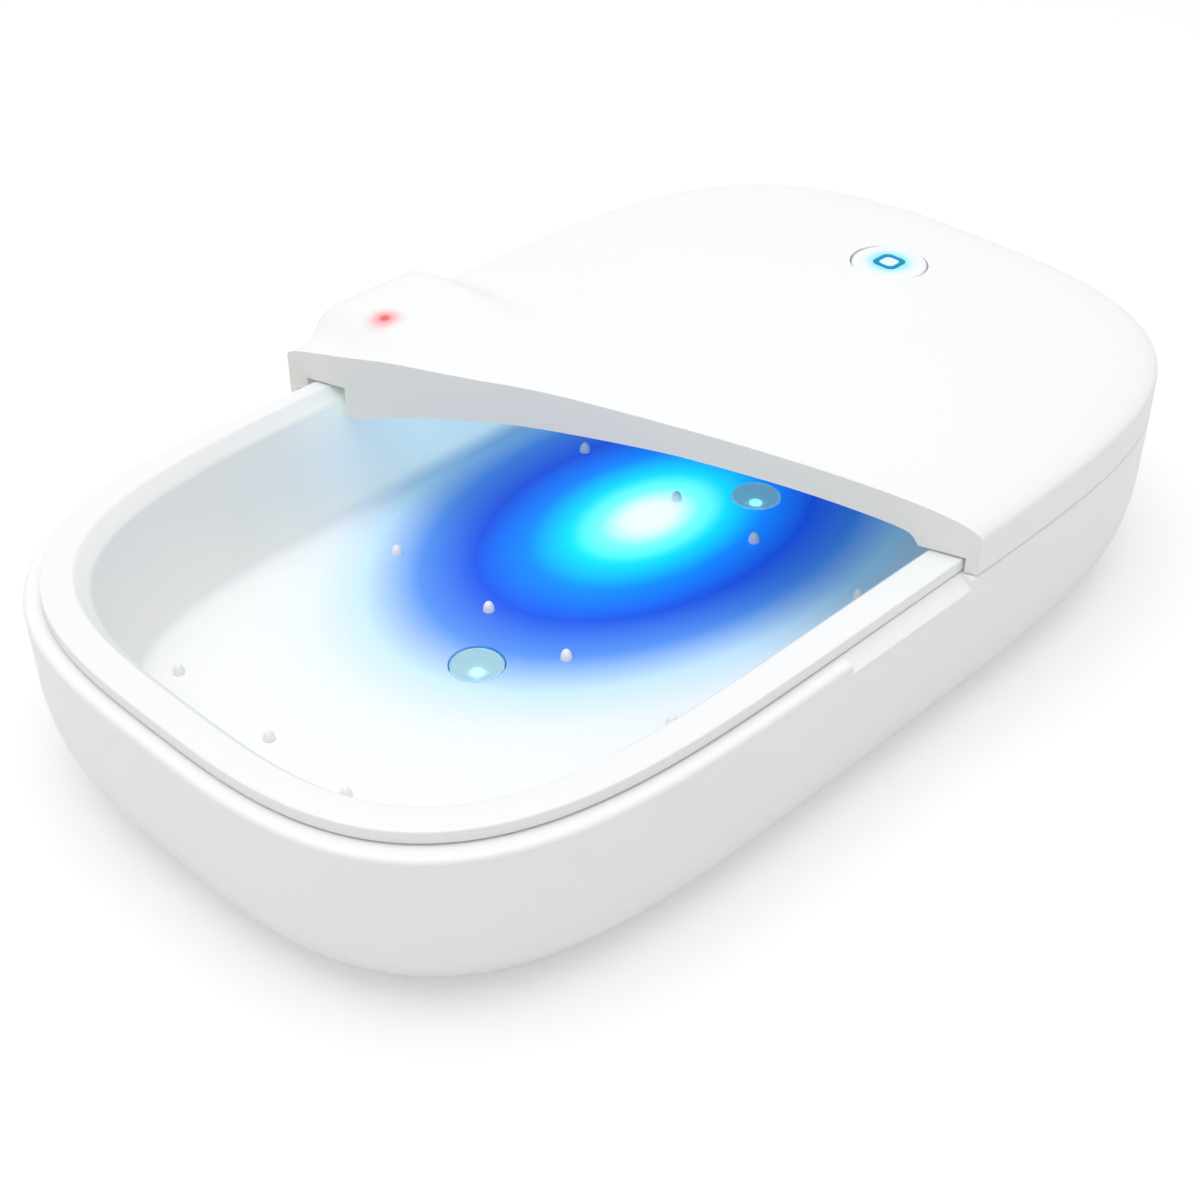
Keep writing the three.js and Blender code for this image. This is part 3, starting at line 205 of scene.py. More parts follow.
LINER_SHANK_RADIUS = 0.85 * MM

# Power button
BUTTON_RADIUS = 7.5 * MM
BUTTON_GAP = 0.35 * MM
BUTTON_FLANGE = 1.1 * MM
BUTTON_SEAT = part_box("button_cap")[0].z + 0.7 * MM
BUTTON_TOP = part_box("button_cap")[1].z
BUTTON_X = (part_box("button_cap")[0].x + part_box("button_cap")[1].x) / 2
BUTTON_PLACE = Vector((BUTTON_X, CASE_Y, BUTTON_TOP))
BUTTON_POCKET = 4.85 * MM
BUTTON_SKIN = 1.5 * MM
ICON_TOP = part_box("button_icon")[1].z
ICON_THICKNESS = 0.5 * MM
ICON_HALF = 2.7 * MM
ICON_LINE = 1.0 * MM
ICON_CORNER = 1.5 * MM
ICON_PLAY = 0.05 * MM
ICON_SINK = 0.1 * MM
ICON_EDGE = 0.06 * MM

# Lamps, and the places and reaches of the painted lamplight and glows
LAMP_POOL = Vector((17.4 * MM, 9.9 * MM + CASE_Y, CHAMBER_FLOOR))
CEILING_LAMP = Vector((18 * MM, 6 * MM + CASE_Y, RIM_Z + 6 * MM))
INDICATOR = Vector((-10.0 * MM, 54.2 * MM + CASE_Y, RIM_Z + HUMP_RISE + HUMP_LIFT))
POOL_REACH = 88 * MM
POOL_STRETCH = (1.0, 1.5, 1.0)
WASH_REACH = 105 * MM
INDICATOR_REACH = 4.6 * MM
ICON_REACH = 6.2 * MM
FLOOR_BLEND = (0.5 * MM, 4 * MM)
MOUTH_BLEND = 1 * MM
LENS_HEIGHT = 0.3 * MM
LAMP_EDGE = 0.08 * MM

# Finishes
WHITE = (0.875, 0.88, 0.885)
WHITE_SHADE = (0.86, 0.865, 0.872)
INNER = (0.86, 0.865, 0.87)
INNER_SHADE = (0.845, 0.85, 0.86)
CASE_ROUGHNESS = 0.34
INNER_ROUGHNESS = 0.42
CASE_BUMP = 0.15
CASE_COAT = 0.05
COAT_ROUGHNESS = 0.12
CASE_SPECULAR = 0.3
LIT_SPECULAR = 0.1
GRAIN_DEPTH = 0.02 * MM

# Studio
PAPER_SHARE = 0.38
FLOOR_BOUNCE = (0.88, 0.88, 0.88)
FLOOR_SEEN = (0.97, 0.97, 0.97)
SKY_LOW = 0.38
SKY_HIGH = 0.95

# Camera, where the photographer stood
CAMERA_AIM = Vector((-32.1 * MM, -27.3 * MM, RIM_Z))
CAMERA_AZIMUTH = math.radians(44.5)
CAMERA_PITCH = math.radians(36.8)
CAMERA_DISTANCE = 335.6 * MM
CAMERA_LENS = 60.53
CAMERA_SENSOR = 36.0
CAMERA_CLIP = 10 * MM


# Outline of the case

def superellipse(angle, half_length, half_width, powers):
    x = math.copysign(abs(math.cos(angle)) ** (2 / powers[0]), math.cos(angle)) * half_length
    y = math.copysign(abs(math.sin(angle)) ** (2 / powers[1]), math.sin(angle)) * half_width
    return x, y


def even_angles(count, samples=20000):
    """Angles whose points on the outline lie about the same distance apart."""
    travelled = [0.0]
    previous = superellipse(0.0, HALF_LENGTH, HALF_WIDTH, CASE_POWERS)
    for step in range(1, samples + 1):
        point = superellipse(2 * math.pi * step / samples, HALF_LENGTH, HALF_WIDTH, CASE_POWERS)
        travelled.append(travelled[-1] + math.dist(previous, point))
        previous = point
    angles = []
    step = 0
    for column in range(count):
        wanted = travelled[-1] * column / count
        while travelled[step + 1] < wanted:
            step += 1
        part = (wanted - travelled[step]) / (travelled[step + 1] - travelled[step])
        angles.append(2 * math.pi * (step + part) / samples)
    return angles


ANGLES = even_angles(COLUMNS)


def inset_ring(inset, z):
    return (HALF_LENGTH - inset, HALF_WIDTH - inset, z, 0.0)


def inset_rings(pairs):
    return [inset_ring(inset, z) for inset, z in pairs]


def eased(part):
    part = min(max(part, 0.0), 1.0)
    return part * part * (3 - 2 * part)


def rear_fall(y, inward):
    """How much lower the lid's crown lies towards the hinge, at a point of one of its rings."""
    return REAR_FALL * eased((y - REAR_FALL_START) / REAR_FALL_RUN) * (1 - (1 - inward) ** REAR_FALL_POWER)


def shell_from_rings(rings, powers=CASE_POWERS, closed=False, crown=()):
    """A shell drawn ring by ring: each ring is a half length, half width, height and shift in Y.

    The last rings of a lid are its crown, given by how far in from the edge each one lies.
    """
    inwards = [0.0] * (len(rings) - len(crown)) + list(crown)
    bm = bmesh.new()
    column_of = bm.verts.layers.int.new("column")
    bmesh.ops.create_circle(bm, segments=COLUMNS, radius=1.0)
    bm.verts.ensure_lookup_table()
    for column, vert in enumerate(bm.verts):
        vert[column_of] = column
    verts, first = list(bm.verts), list(bm.edges)
    edges = first
    for index, (half_length, half_width, z, shift) in enumerate(rings):
        inward = inwards[index]
        if index:
            grown = bmesh.ops.extrude_edge_only(bm, edges=edges)["geom"]
            verts = [part for part in grown if isinstance(part, bmesh.types.BMVert)]
            edges = [part for part in grown if isinstance(part, bmesh.types.BMEdge)]
        for vert in verts:
            x, y = superellipse(ANGLES[vert[column_of]], half_length, half_width, powers)
            vert.co = (x, CASE_Y + shift + y, z - rear_fall(y, inward))
    if closed:
        bmesh.ops.bridge_loops(bm, edges=first + edges)
    else:
        bmesh.ops.edgeloop_fill(bm, edges=first)
        bmesh.ops.edgeloop_fill(bm, edges=edges)
    bmesh.ops.recalc_face_normals(bm, faces=bm.faces)
    return bm


def upright_solid(inset, bottom, top, powers=CASE_POWERS):
    """The case's outline, drawn in by an inset, from one height straight up to another."""
    return shell_from_rings([inset_ring(inset, bottom), inset_ring(inset, top)], powers)


def rounded(start, corner, end, steps=5):
    """Pairs from start to end round a corner, along a quarter of an ellipse."""
    pairs = []
    for step in range(steps + 1):
        angle = math.pi / 2 * step / steps
        along, across = math.sin(angle), 1 - math.cos(angle)
        pairs.append(tuple(
            first + (middle - first) * along + (last - middle) * across
            for first, middle, last in zip(start, corner, end)))
    return pairs


# Shapes and tools

def block(low, high):
    bm = bmesh.new()
    bmesh.ops.create_cube(bm, size=1.0)
    bmesh.ops.scale(bm, vec=Vector(high) - Vector(low), verts=bm.verts)
    bmesh.ops.translate(bm, vec=(Vector(high) + Vector(low)) / 2, verts=bm.verts)
    return bm


def rounded_block(low, high, radius, axis, segments=10):
    """A block whose four edges along one axis are rounded."""
    bm = block(low, high)
    edges = [edge for edge in bm.edges
             if abs((edge.verts[1].co - edge.verts[0].co).normalized()[axis]) > 0.9]
    bmesh.ops.bevel(bm, geom=edges, offset=radius, offset_type="OFFSET", segments=segments, profile=0.5,
                    affect="EDGES", material=-1)
    return bm


def drum(radius, bottom, top, place, segments=96):
    bm = bmesh.new()
    bmesh.ops.create_cone(bm, cap_ends=True, segments=segments, radius1=radius, radius2=radius,
                          depth=top - bottom)
    bmesh.ops.translate(bm, vec=(place.x, place.y, (bottom + top) / 2), verts=bm.verts)
    return bm


def rod(radius, start, end, segments=64):
    """A round bar along the hinge's axis."""
    bm = bmesh.new()
    bmesh.ops.create_cone(bm, cap_ends=True, segments=segments, radius1=radius, radius2=radius,
                          depth=end - start)
    bmesh.ops.rotate(bm, matrix=Matrix.Rotation(math.pi / 2, 3, "Y"), verts=bm.verts)
    bmesh.ops.translate(bm, vec=((start + end) / 2, HINGE_Y, HINGE_Z), verts=bm.verts)
    return bm


def drawn_along_x(outline, start, end):
    """An outline of Y and Z pairs, drawn out along X."""
    bm = bmesh.new()
    face = bm.faces.new([bm.verts.new((start, y, z)) for y, z in outline])
    grown = bmesh.ops.extrude_face_region(bm, geom=[face])["geom"]
    bmesh.ops.translate(bm, vec=(end - start, 0, 0),
                        verts=[part for part in grown if isinstance(part, bmesh.types.BMVert)])
    bmesh.ops.recalc_face_normals(bm, faces=bm.faces)
    return bm


def turned(profile, place, segments=64):
    """A shape turned about an upright axis. The profile is radius and height, in millimetres."""
    bm = bmesh.new()
    verts = [bm.verts.new((radius * MM, 0, height * MM)) for radius, height in profile]
    for low, high in zip(verts, verts[1:]):
        bm.edges.new((low, high))
    bmesh.ops.spin(bm, geom=bm.verts[:] + bm.edges[:], cent=(0, 0, 0), axis=(0, 0, 1), angle=2 * math.pi,
                   steps=segments, use_merge=True, use_duplicate=False)
    bmesh.ops.remove_doubles(bm, verts=bm.verts, dist=MERGE_DISTANCE)
    bmesh.ops.recalc_face_normals(bm, faces=bm.faces)
    bmesh.ops.translate(bm, vec=place, verts=bm.verts)
    return bm


def mesh_object(name, bm):
    mesh = bpy.data.meshes.new(name)
    bm.to_mesh(mesh)
    bm.free()
    item = bpy.data.objects.new(name, mesh)
    bpy.context.scene.collection.objects.link(item)
    return item


def combined(bm, tools, operation="DIFFERENCE"):
    """The solid cut by, joined to or kept inside each tool in turn."""
    target = mesh_object("working_solid", bm)
    for tool in tools:
        cutter = mesh_object("working_tool", tool)
        boolean = target.modifiers.new("combine", "BOOLEAN")
        boolean.operation = operation
        boolean.solver = "EXACT"
        boolean.object = cutter
        evaluated = target.evaluated_get(bpy.context.evaluated_depsgraph_get())
        result = bpy.data.meshes.new_from_object(evaluated)
        target.modifiers.clear()
        target.data = result
        bpy.data.objects.remove(cutter)
    made = bmesh.new()
    made.from_mesh(target.data)
    bpy.data.objects.remove(target)
    return made


def soften(bm, width, segments=2, degrees=40):
    """A small round on every edge that folds more than the angle."""
    sharp = [edge for edge in bm.edges
             if len(edge.link_faces) == 2 and edge.calc_face_angle(0.0) > math.radians(degrees)]
    bmesh.ops.bevel(bm, geom=sharp, offset=width, offset_type="OFFSET", segments=segments, profile=0.5,
                    affect="EDGES", clamp_overlap=True, material=-1)
    return bm


def trimmed(bm, place, normal, clear_far=False):
    """The solid on one side of a plane, with the cut closed."""
    made = bmesh.ops.bisect_plane(bm, geom=bm.verts[:] + bm.edges[:] + bm.faces[:], plane_co=place,
                                  plane_no=normal, clear_inner=not clear_far, clear_outer=clear_far)
    edges = [part for part in made["geom_cut"] if isinstance(part, bmesh.types.BMEdge)]
    bmesh.ops.holes_fill(bm, edges=edges, sides=0)
    bmesh.ops.recalc_face_normals(bm, faces=bm.faces)
    return bm


def beyond_section(bm, offset, clear_far=False):
    """The solid beyond the lid's section plane, moved along by an offset."""
    return trimmed(bm, Vector((SECTION_X, CASE_Y, 0.0)) + SECTION_NORMAL * offset, SECTION_NORMAL, clear_far)


def middle_of(node):
    low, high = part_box(node)
    return (low + high) / 2


def finish_piece(name, bm, body, node, slot, materials=()):
    """Makes the piece, with shading that keeps sharp folds crisp, and puts it in its body; the node it stands
    for is hidden.

    Unless materials are given, it has the finish of its slot.
    """
    bmesh.ops.remove_doubles(bm, verts=bm.verts, dist=MERGE_DISTANCE)
    for face in bm.faces:
        face.smooth = True
    for edge in bm.edges:
        edge.smooth = len(edge.link_faces) == 2 and edge.calc_face_angle(0.0) < SMOOTH_ANGLE
    piece = mesh_object(name, bm)
    for material in materials or [FINISHES[slot]]:
        piece.data.materials.append(material)
    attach(piece, body)
    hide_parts(node)
    return piece


# Material effects that several finishes share

def feed(tree, node, inputs):
    """Gives each input of a node its value, or a link from the socket that drives it."""
    for name, source in inputs.items():
        socket = node.inputs[name]
        if isinstance(source, bpy.types.NodeSocket):
            tree.links.new(source, socket)
        elif socket.type == "RGBA":
            socket.default_value = (*source, 1.0)
        else:
            socket.default_value = source


def add_node(tree, kind, inputs, operation=None):
    node = tree.nodes.new(f"ShaderNode{kind}")
    if operation:
        node.operation = operation
    feed(tree, node, inputs)
    return node


def blended(tree, factor, first, second, kind="MIX"):
    """Two colours mixed by a factor, each a socket or a plain colour."""
    node = tree.nodes.new("ShaderNodeMix")
    node.data_type = "RGBA"
    node.blend_type = kind
    feed(tree, node, {"Factor": factor, "A": first, "B": second})
    return node.outputs["Result"]


def object_place(tree):
    return tree.nodes.new("ShaderNodeTexCoord").outputs["Object"]


def new_group(name, inputs, outputs):
    """A group with its inputs, each a name, kind and value, and its outputs, each a name and kind."""
    group = bpy.data.node_groups.new(name, "ShaderNodeTree")
    for label, kind, value in inputs:
        socket = group.interface.new_socket(name=label, in_out="INPUT", socket_type=f"NodeSocket{kind}")
        if value is not None:
            socket.default_value = value
    for label, kind in outputs:
        group.interface.new_socket(name=label, in_out="OUTPUT", socket_type=f"NodeSocket{kind}")
    return group, group.nodes.new("NodeGroupInput").outputs, group.nodes.new("NodeGroupOutput")


def make_moulded_grain():
    """Moulded plastic: a fine height for bump, uneven gloss and a faint unevenness of tone."""
    group, given, result = new_group(
        "moulded_grain",
        (("Grain Scale", "Float", 900.0), ("Roughness", "Float", 0.3), ("Gloss Variation", "Float", 0.05),
         ("Color", "Color", None), ("Shade", "Color", None)),
        (("Height", "Float"), ("Roughness", "Float"), ("Color", "Color")))
    place = object_place(group)
    fine = add_node(group, "TexNoise", {"Vector": place, "Scale": given["Grain Scale"], "Detail": 3.0})
    broad = add_node(group, "TexNoise", {"Vector": place, "Scale": 28.0}).outputs["Fac"]
    centred = add_node(group, "Math", {0: broad, 1: 0.5}, "SUBTRACT").outputs[0]
    gloss = add_node(group, "Math", {0: centred, 1: given["Gloss Variation"], 2: given["Roughness"]},
                     "MULTIPLY_ADD")
    feed(group, result, {"Height": fine.outputs["Fac"], "Roughness": gloss.outputs[0],
                         "Color": blended(group, broad, given["Color"], given["Shade"])})
    return group


def make_nearness():
    """How near a point is to a place: 1 there, falling to 0 at the reach along X.

    The stretch is by how much faster it falls along each axis.
    """
    group, given, result = new_group(
        "nearness",
        (("Place", "Vector", (0.0, 0.0, 0.0)), ("Reach", "Float", 0.05),
         ("Stretch", "Vector", (1.0, 1.0, 1.0))),
        (("Nearness", "Float"),))
    apart = add_node(group, "VectorMath", {0: object_place(group), 1: given["Place"]}, "SUBTRACT")
    stretched = add_node(group, "VectorMath", {0: apart.outputs["Vector"], 1: given["Stretch"]}, "MULTIPLY")
    length = add_node(group, "VectorMath", {0: stretched.outputs["Vector"]}, "LENGTH")
    share = add_node(group, "Math", {0: length.outputs["Value"], 1: given["Reach"]}, "DIVIDE")
    near = add_node(group, "Math", {0: 1.0, 1: share.outputs[0]}, "SUBTRACT")
    near.use_clamp = True
    feed(group, result, {"Nearness": near.outputs[0]})
    return group


MOULDED_GRAIN = make_moulded_grain()
NEARNESS = make_nearness()


def new_material(name, values):
    """A material, its nodes and its shader, which is given plain values."""
    material = bpy.data.materials.new(name)
    material.use_nodes = True
    tree = material.node_tree
    shader = tree.nodes["Principled BSDF"]
    feed(tree, shader, values)
    return material, tree, shader


def add_group(tree, group, inputs):
    node = tree.nodes.new("ShaderNodeGroup")
    node.node_tree = group
    feed(tree, node, inputs)
    return node.outputs


def add_grain(tree, shader, colour, shade, roughness, scale=900.0, bump=0.2, variation=0.06):
    """Moulded grain on a material's tone, gloss and bump. Returns the tone."""
    grain = add_group(tree, MOULDED_GRAIN, {
        "Grain Scale": scale, "Roughness": roughness, "Gloss Variation": variation, "Color": colour,
        "Shade": shade})
    lift = add_node(tree, "Bump", {"Strength": bump, "Distance": GRAIN_DEPTH, "Height": grain["Height"]})
    feed(tree, shader, {"Normal": lift.outputs["Normal"], "Roughness": grain["Roughness"],
                        "Base Color": grain["Color"]})
    return grain["Color"]


def add_nearness(tree, place, reach, stretch=(1.0, 1.0, 1.0)):
    return add_group(tree, NEARNESS, {"Place": place, "Reach": reach, "Stretch": stretch})["Nearness"]


def ramp(tree, value, stops):
    """Colours along a value from 0 to 1. A stop is its place and its red, green and blue."""
    node = add_node(tree, "ValToRGB", {"Fac": value})
    elements = node.color_ramp.elements
    while len(elements) < len(stops):
        elements.new(0.5)
    for element, (place, *colour) in zip(elements, stops):
        element.position = place
        element.color = (*colour, 1.0)
    return node.outputs["Color"]


def share_of_height(tree, low, high):
    """How far up a point lies between two heights, from 0 to 1."""
    parts = add_node(tree, "SeparateXYZ", {0: object_place(tree)})
    return add_node(tree, "MapRange", {
        "Value": parts.outputs["Z"], "From Min": low, "From Max": high}).outputs["Result"]


def moulding(name, colour, shade, roughness, coat=0.0, specular=0.5, **grain):
    material, tree, shader = new_material(name, {
        "Specular IOR Level": specular, "Coat Weight": coat, "Coat Roughness": COAT_ROUGHNESS})
    add_grain(tree, shader, colour, shade, roughness, **grain)
    return material


def metal(name, colour, shade, roughness):
    material, tree, shader = new_material(name, {"Metallic": 1.0})
    add_grain(tree, shader, colour, shade, roughness, scale=1800.0, bump=0.25, variation=0.12)
    return material


def make_glowing_white(name, glow_place, reach, painted_glow_tints, painted_glows):
    """The casing white with a painted glow, dyed and glowing, round a small light under its skin."""
    material, tree, shader = new_material(name, {
        "Coat Weight": CASE_COAT, "Coat Roughness": COAT_ROUGHNESS, "Specular IOR Level": CASE_SPECULAR,
        "Emission Strength": 1.0})
    tone = add_grain(tree, shader, WHITE, WHITE_SHADE, CASE_ROUGHNESS, bump=CASE_BUMP)
    near = add_nearness(tree, glow_place, reach)
    feed(tree, shader, {"Base Color": blended(tree, 1.0, tone, ramp(tree, near, painted_glow_tints), "MULTIPLY"),
                        "Emission Color": ramp(tree, near, painted_glows)})
    return material


def make_lamplit_white():
    """The chamber's white with painted lamplight: a painted blue pool below the ceiling lamp, painted pale
    cyan on the walls.
    """
    material, tree, shader = new_material("lamplit_white", {"Emission Strength": 1.0})
    tone = add_grain(tree, shader, INNER, INNER_SHADE, INNER_ROUGHNESS)
    pool = add_nearness(tree, LAMP_POOL, POOL_REACH, POOL_STRETCH)
    # Painted pool of lamplight on the floor: white with a faint glow far off, deep blue round the lamp's
    # spot, a pale cyan glowing core.
    painted_pool_tint = ramp(tree, pool, (
        (0.0, 1.0, 1.0, 1.0), (0.14, 0.95, 0.98, 1.0), (0.27, 0.7, 0.87, 1.0),
        (0.41, 0.12, 0.3, 0.8), (0.55, 0.01, 0.06, 0.5), (0.68, 0.0, 0.15, 0.7),
        (0.8, 0.0, 0.4, 0.8), (0.9, 0.3, 0.9, 1.0)))
    painted_pool_glow = ramp(tree, pool, (
        (0.0, 0.03, 0.03, 0.02), (0.14, 0.03, 0.05, 0.05), (0.27, 0.02, 0.09, 0.13),
        (0.41, 0.0, 0.05, 0.2), (0.55, 0.0, 0.04, 0.4), (0.68, 0.0, 0.17, 0.65),
        (0.79, 0.0, 0.6, 0.95), (0.87, 0.15, 0.95, 1.0), (0.94, 0.8, 1.0, 1.0)))
    # Painted wash of lamplight on the walls: pale cyan near the lamp, a faint glow everywhere.
    wash = add_nearness(tree, CEILING_LAMP, WASH_REACH)
    painted_wash_tint = ramp(tree, wash, (
        (0.0, 1.0, 1.0, 0.97), (0.3, 1.0, 1.0, 0.96), (0.5, 0.92, 1.0, 1.0), (0.75, 0.8, 0.97, 1.0)))
    painted_wash_glow = ramp(tree, wash, (
        (0.0, 0.03, 0.025, 0.01), (0.2, 0.03, 0.025, 0.005), (0.3, 0.06, 0.07, 0.045),
        (0.4, 0.15, 0.19, 0.15), (0.47, 0.27, 0.36, 0.28), (0.7, 0.34, 0.6, 0.6)))
    rise = share_of_height(tree, CHAMBER_FLOOR + FLOOR_BLEND[0], CHAMBER_FLOOR + FLOOR_BLEND[1])
    mouth = share_of_height(tree, RIM_Z - MOUTH_BLEND, RING_TOP)
    # Painted lamplight on the ring round the mouth, faintly cyan near the lamp; the walls' painted glow stops
    # at the mouth.
    painted_ring_tint = ramp(tree, wash, ((0.0, 1.0, 1.0, 1.0), (0.3, 1.0, 1.0, 1.0), (0.6, 0.9, 1.0, 1.0)))
    walls = blended(tree, mouth, painted_wash_tint, painted_ring_tint)
    wall_light = blended(tree, mouth, painted_wash_glow, (0.0, 0.0, 0.0))
    tint = blended(tree, rise, painted_pool_tint, walls)
    feed(tree, shader, {"Base Color": blended(tree, 1.0, tone, tint, "MULTIPLY"),
                        "Emission Color": blended(tree, rise, painted_pool_glow, wall_light)})
    return material


def make_lit(name, colour, edge, strength):
    """A lit lamp or light guide, a little uneven over its face."""
    material, tree, shader = new_material(name, {
        "Specular IOR Level": LIT_SPECULAR, "Emission Strength": strength})
    tone = add_grain(tree, shader, colour, edge, 0.3, scale=300.0, bump=0.1, variation=0.05)
    feed(tree, shader, {"Emission Color": tone})
    return material


def make_window():
    """A quartz window with the lamp's light in it, painted as a faint cyan glow."""
    material, tree, shader = new_material("window_quartz", {
        "Transmission Weight": 0.6, "IOR": 1.46, "Emission Color": (0.35, 0.85, 1.0),
        "Emission Strength": 0.08})
    add_grain(tree, shader, (0.72, 0.93, 1.0), (0.66, 0.9, 1.0), 0.08, scale=400.0, bump=0.05, variation=0.03)
    return material


def make_board():
    """Solder mask over fine copper tracks."""
    material, tree, shader = new_material("board_green", {})
    tone = add_grain(tree, shader, (0.02, 0.2, 0.1), (0.015, 0.16, 0.085), 0.45, bump=0.1)
    tracks = add_node(tree, "TexBrick", {"Vector": object_place(tree), "Scale": 140.0, "Mortar Size": 0.04})
    feed(tree, shader, {"Base Color": blended(tree, tracks.outputs["Fac"], tone, (0.06, 0.33, 0.16))})
    return material


FINISHES = {
    "case_white": moulding("case_white", WHITE, WHITE_SHADE, CASE_ROUGHNESS, coat=CASE_COAT,
                           specular=CASE_SPECULAR, bump=CASE_BUMP),
    "inner_white": moulding("inner_white", INNER, INNER_SHADE, INNER_ROUGHNESS),
    "section_grey": moulding("section_grey", (0.86, 0.85, 0.83), (0.83, 0.82, 0.8), 0.8, scale=500.0,
                             bump=0.3),
    "foot_rubber": moulding("foot_rubber", (0.6, 0.6, 0.6), (0.55, 0.55, 0.55), 0.85, scale=420.0, bump=0.6),
    "chip_black": moulding("chip_black", (0.02, 0.02, 0.022), (0.03, 0.03, 0.032), 0.6, scale=1500.0,
                           bump=0.5),
    "steel": metal("steel", (0.68, 0.69, 0.71), (0.6, 0.61, 0.63), 0.3),
    "magnet_grey": metal("magnet_grey", (0.52, 0.53, 0.55), (0.47, 0.48, 0.5), 0.22),
    "board_green": make_board(),
    "window_clear": make_window(),
    "uv_lamp": make_lit("uv_lamp", (0.35, 0.85, 1.0), (0.2, 0.7, 1.0), 4.0),
    "indicator_red": make_lit("indicator_red", (1.0, 0.1, 0.12), (0.9, 0.05, 0.08), 2.0),
    "icon_teal": make_lit("icon_teal", (0.0, 0.19, 0.36), (0.0, 0.15, 0.32), 0.4),
}
# Painted red glow on the lid's skin round the indicator light under it.
LID_WHITE = make_glowing_white(
    "lid_white", INDICATOR, INDICATOR_REACH,
    ((0.0, 1.0, 1.0, 1.0), (0.3, 1.0, 0.86, 0.86), (0.6, 1.0, 0.55, 0.56), (0.76, 1.0, 0.38, 0.4),
     (0.84, 0.8, 0.16, 0.18)),
    ((0.0, 0.0, 0.0, 0.0), (0.4, 0.01, 0.0, 0.0), (0.7, 0.03, 0.0, 0.0), (0.9, 0.05, 0.0, 0.0)))
# Painted cyan halo on the button cap round its lit icon.
BUTTON_WHITE = make_glowing_white(
    "button_white", BUTTON_PLACE, ICON_REACH,
    ((0.0, 1.0, 1.0, 1.0), (0.25, 0.8, 0.97, 1.0), (0.5, 0.25, 0.8, 1.0), (0.66, 0.45, 0.85, 1.0),
     (0.8, 0.8, 0.95, 1.0)),
    ((0.0, 0.0, 0.0, 0.0), (0.3, 0.0, 0.03, 0.05), (0.55, 0.0, 0.16, 0.24), (0.8, 0.02, 0.1, 0.14)))
LAMPLIT_WHITE = make_lamplit_white()


def dress_nodes():
    """Finishes for the nodes that keep their own shape."""
    for entry in frame["record"]["subparts"]:
        mesh = frame["nodes"][entry["node"]].data
        mesh.materials.clear()
        mesh.materials.append(FINISHES[entry["material_slot"]])


# Base casing

def tuck_share(z):
    depth = min((RIM_Z - z) / (RIM_Z - BASE_BOTTOM), 1.0)
    return 1 - (1 - depth ** TUCK_POWER) ** (1 / TUCK_POWER)


def base_ring(z, inset):
    share = tuck_share(z)
    return (HALF_LENGTH - END_TUCK * share - inset, HALF_WIDTH - SIDE_TUCK * share - inset, z, 0.0)


def cover_ring(inset, z):
    return (HALF_LENGTH - END_TUCK - COVER_MARGINS[0] - inset,
            HALF_WIDTH - SIDE_TUCK - COVER_MARGINS[1] - inset, z, 0.0)


def side_heights():
    """Heights up the side, close together where the side turns under."""
    shares = [1 - step / SIDE_STEPS for step in range(SIDE_STEPS)]
    return [RIM_Z - (RIM_Z - BASE_BOTTOM) * math.sin(share * math.pi / 2) ** (2 / TUCK_POWER)
            for share in shares if share > 0.12]


def socket_space():
    low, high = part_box("power_socket")
    play = Vector((SOCKET_PLAY, 0.0, SOCKET_PLAY))
    return rounded_block(low - play, high + play + Vector((0.0, SOCKET_RUN, 0.0)), SOCKET_HOLE_ROUND, 1)


def finger_scoop():
    """The wedge that is missing from the front of the rim."""
    slope = SCOOP_DROP / SCOOP_REACH
    return drawn_along_x([
        (FRONT - OVER, RIM_Z - SCOOP_DROP - OVER * slope),
        (FRONT + SCOOP_REACH + OVER, RIM_Z + OVER * slope),
        (FRONT - OVER, RIM_Z + OVER * slope),
    ], -SCOOP_LENGTH / 2, SCOOP_LENGTH / 2)


def add_base_casing():
    band_underside = RIM_Z - BAND_DEPTH
    floor_top = BASE_BOTTOM + BASE_FLOOR
    cover_top = BASE_BOTTOM + COVER_THICKNESS + GAP
    rings = [cover_ring(0.0, BASE_BOTTOM)]
    rings += [base_ring(z, 0.0) for z in side_heights()]
    rings += inset_rings(rounded((0.0, RIM_Z - BAND_ROUND), (0.0, RIM_Z), (BAND_ROUND, RIM_Z), 7))
    rings += inset_rings(rounded((BAND_WIDTH - RING_EDGE, RIM_Z), (BAND_WIDTH, RIM_Z),
                                 (BAND_WIDTH, RIM_Z - RING_EDGE), 3))
    rings += [inset_ring(BAND_WIDTH, band_underside), base_ring(band_underside, BASE_WALL)]
    rings += [base_ring(z, BASE_WALL) for z in reversed(side_heights()) if floor_top < z < band_underside]
    rings += [base_ring(floor_top, BASE_WALL), cover_ring(COVER_LEDGE, floor_top),
              cover_ring(COVER_LEDGE, cover_top), cover_ring(0.0, cover_top)]
    recess = block((-RECESS_HALF_LENGTH, REAR - BAND_WIDTH - OVER, RIM_Z - RECESS_DROP),
                   (RECESS_HALF_LENGTH, REAR + OVER, RIM_Z + OVER))
    bm = combined(shell_from_rings(rings, closed=True), [recess, socket_space(), finger_scoop()])
    finish_piece("base_casing", bm, "base", "base_shell", "case_white")


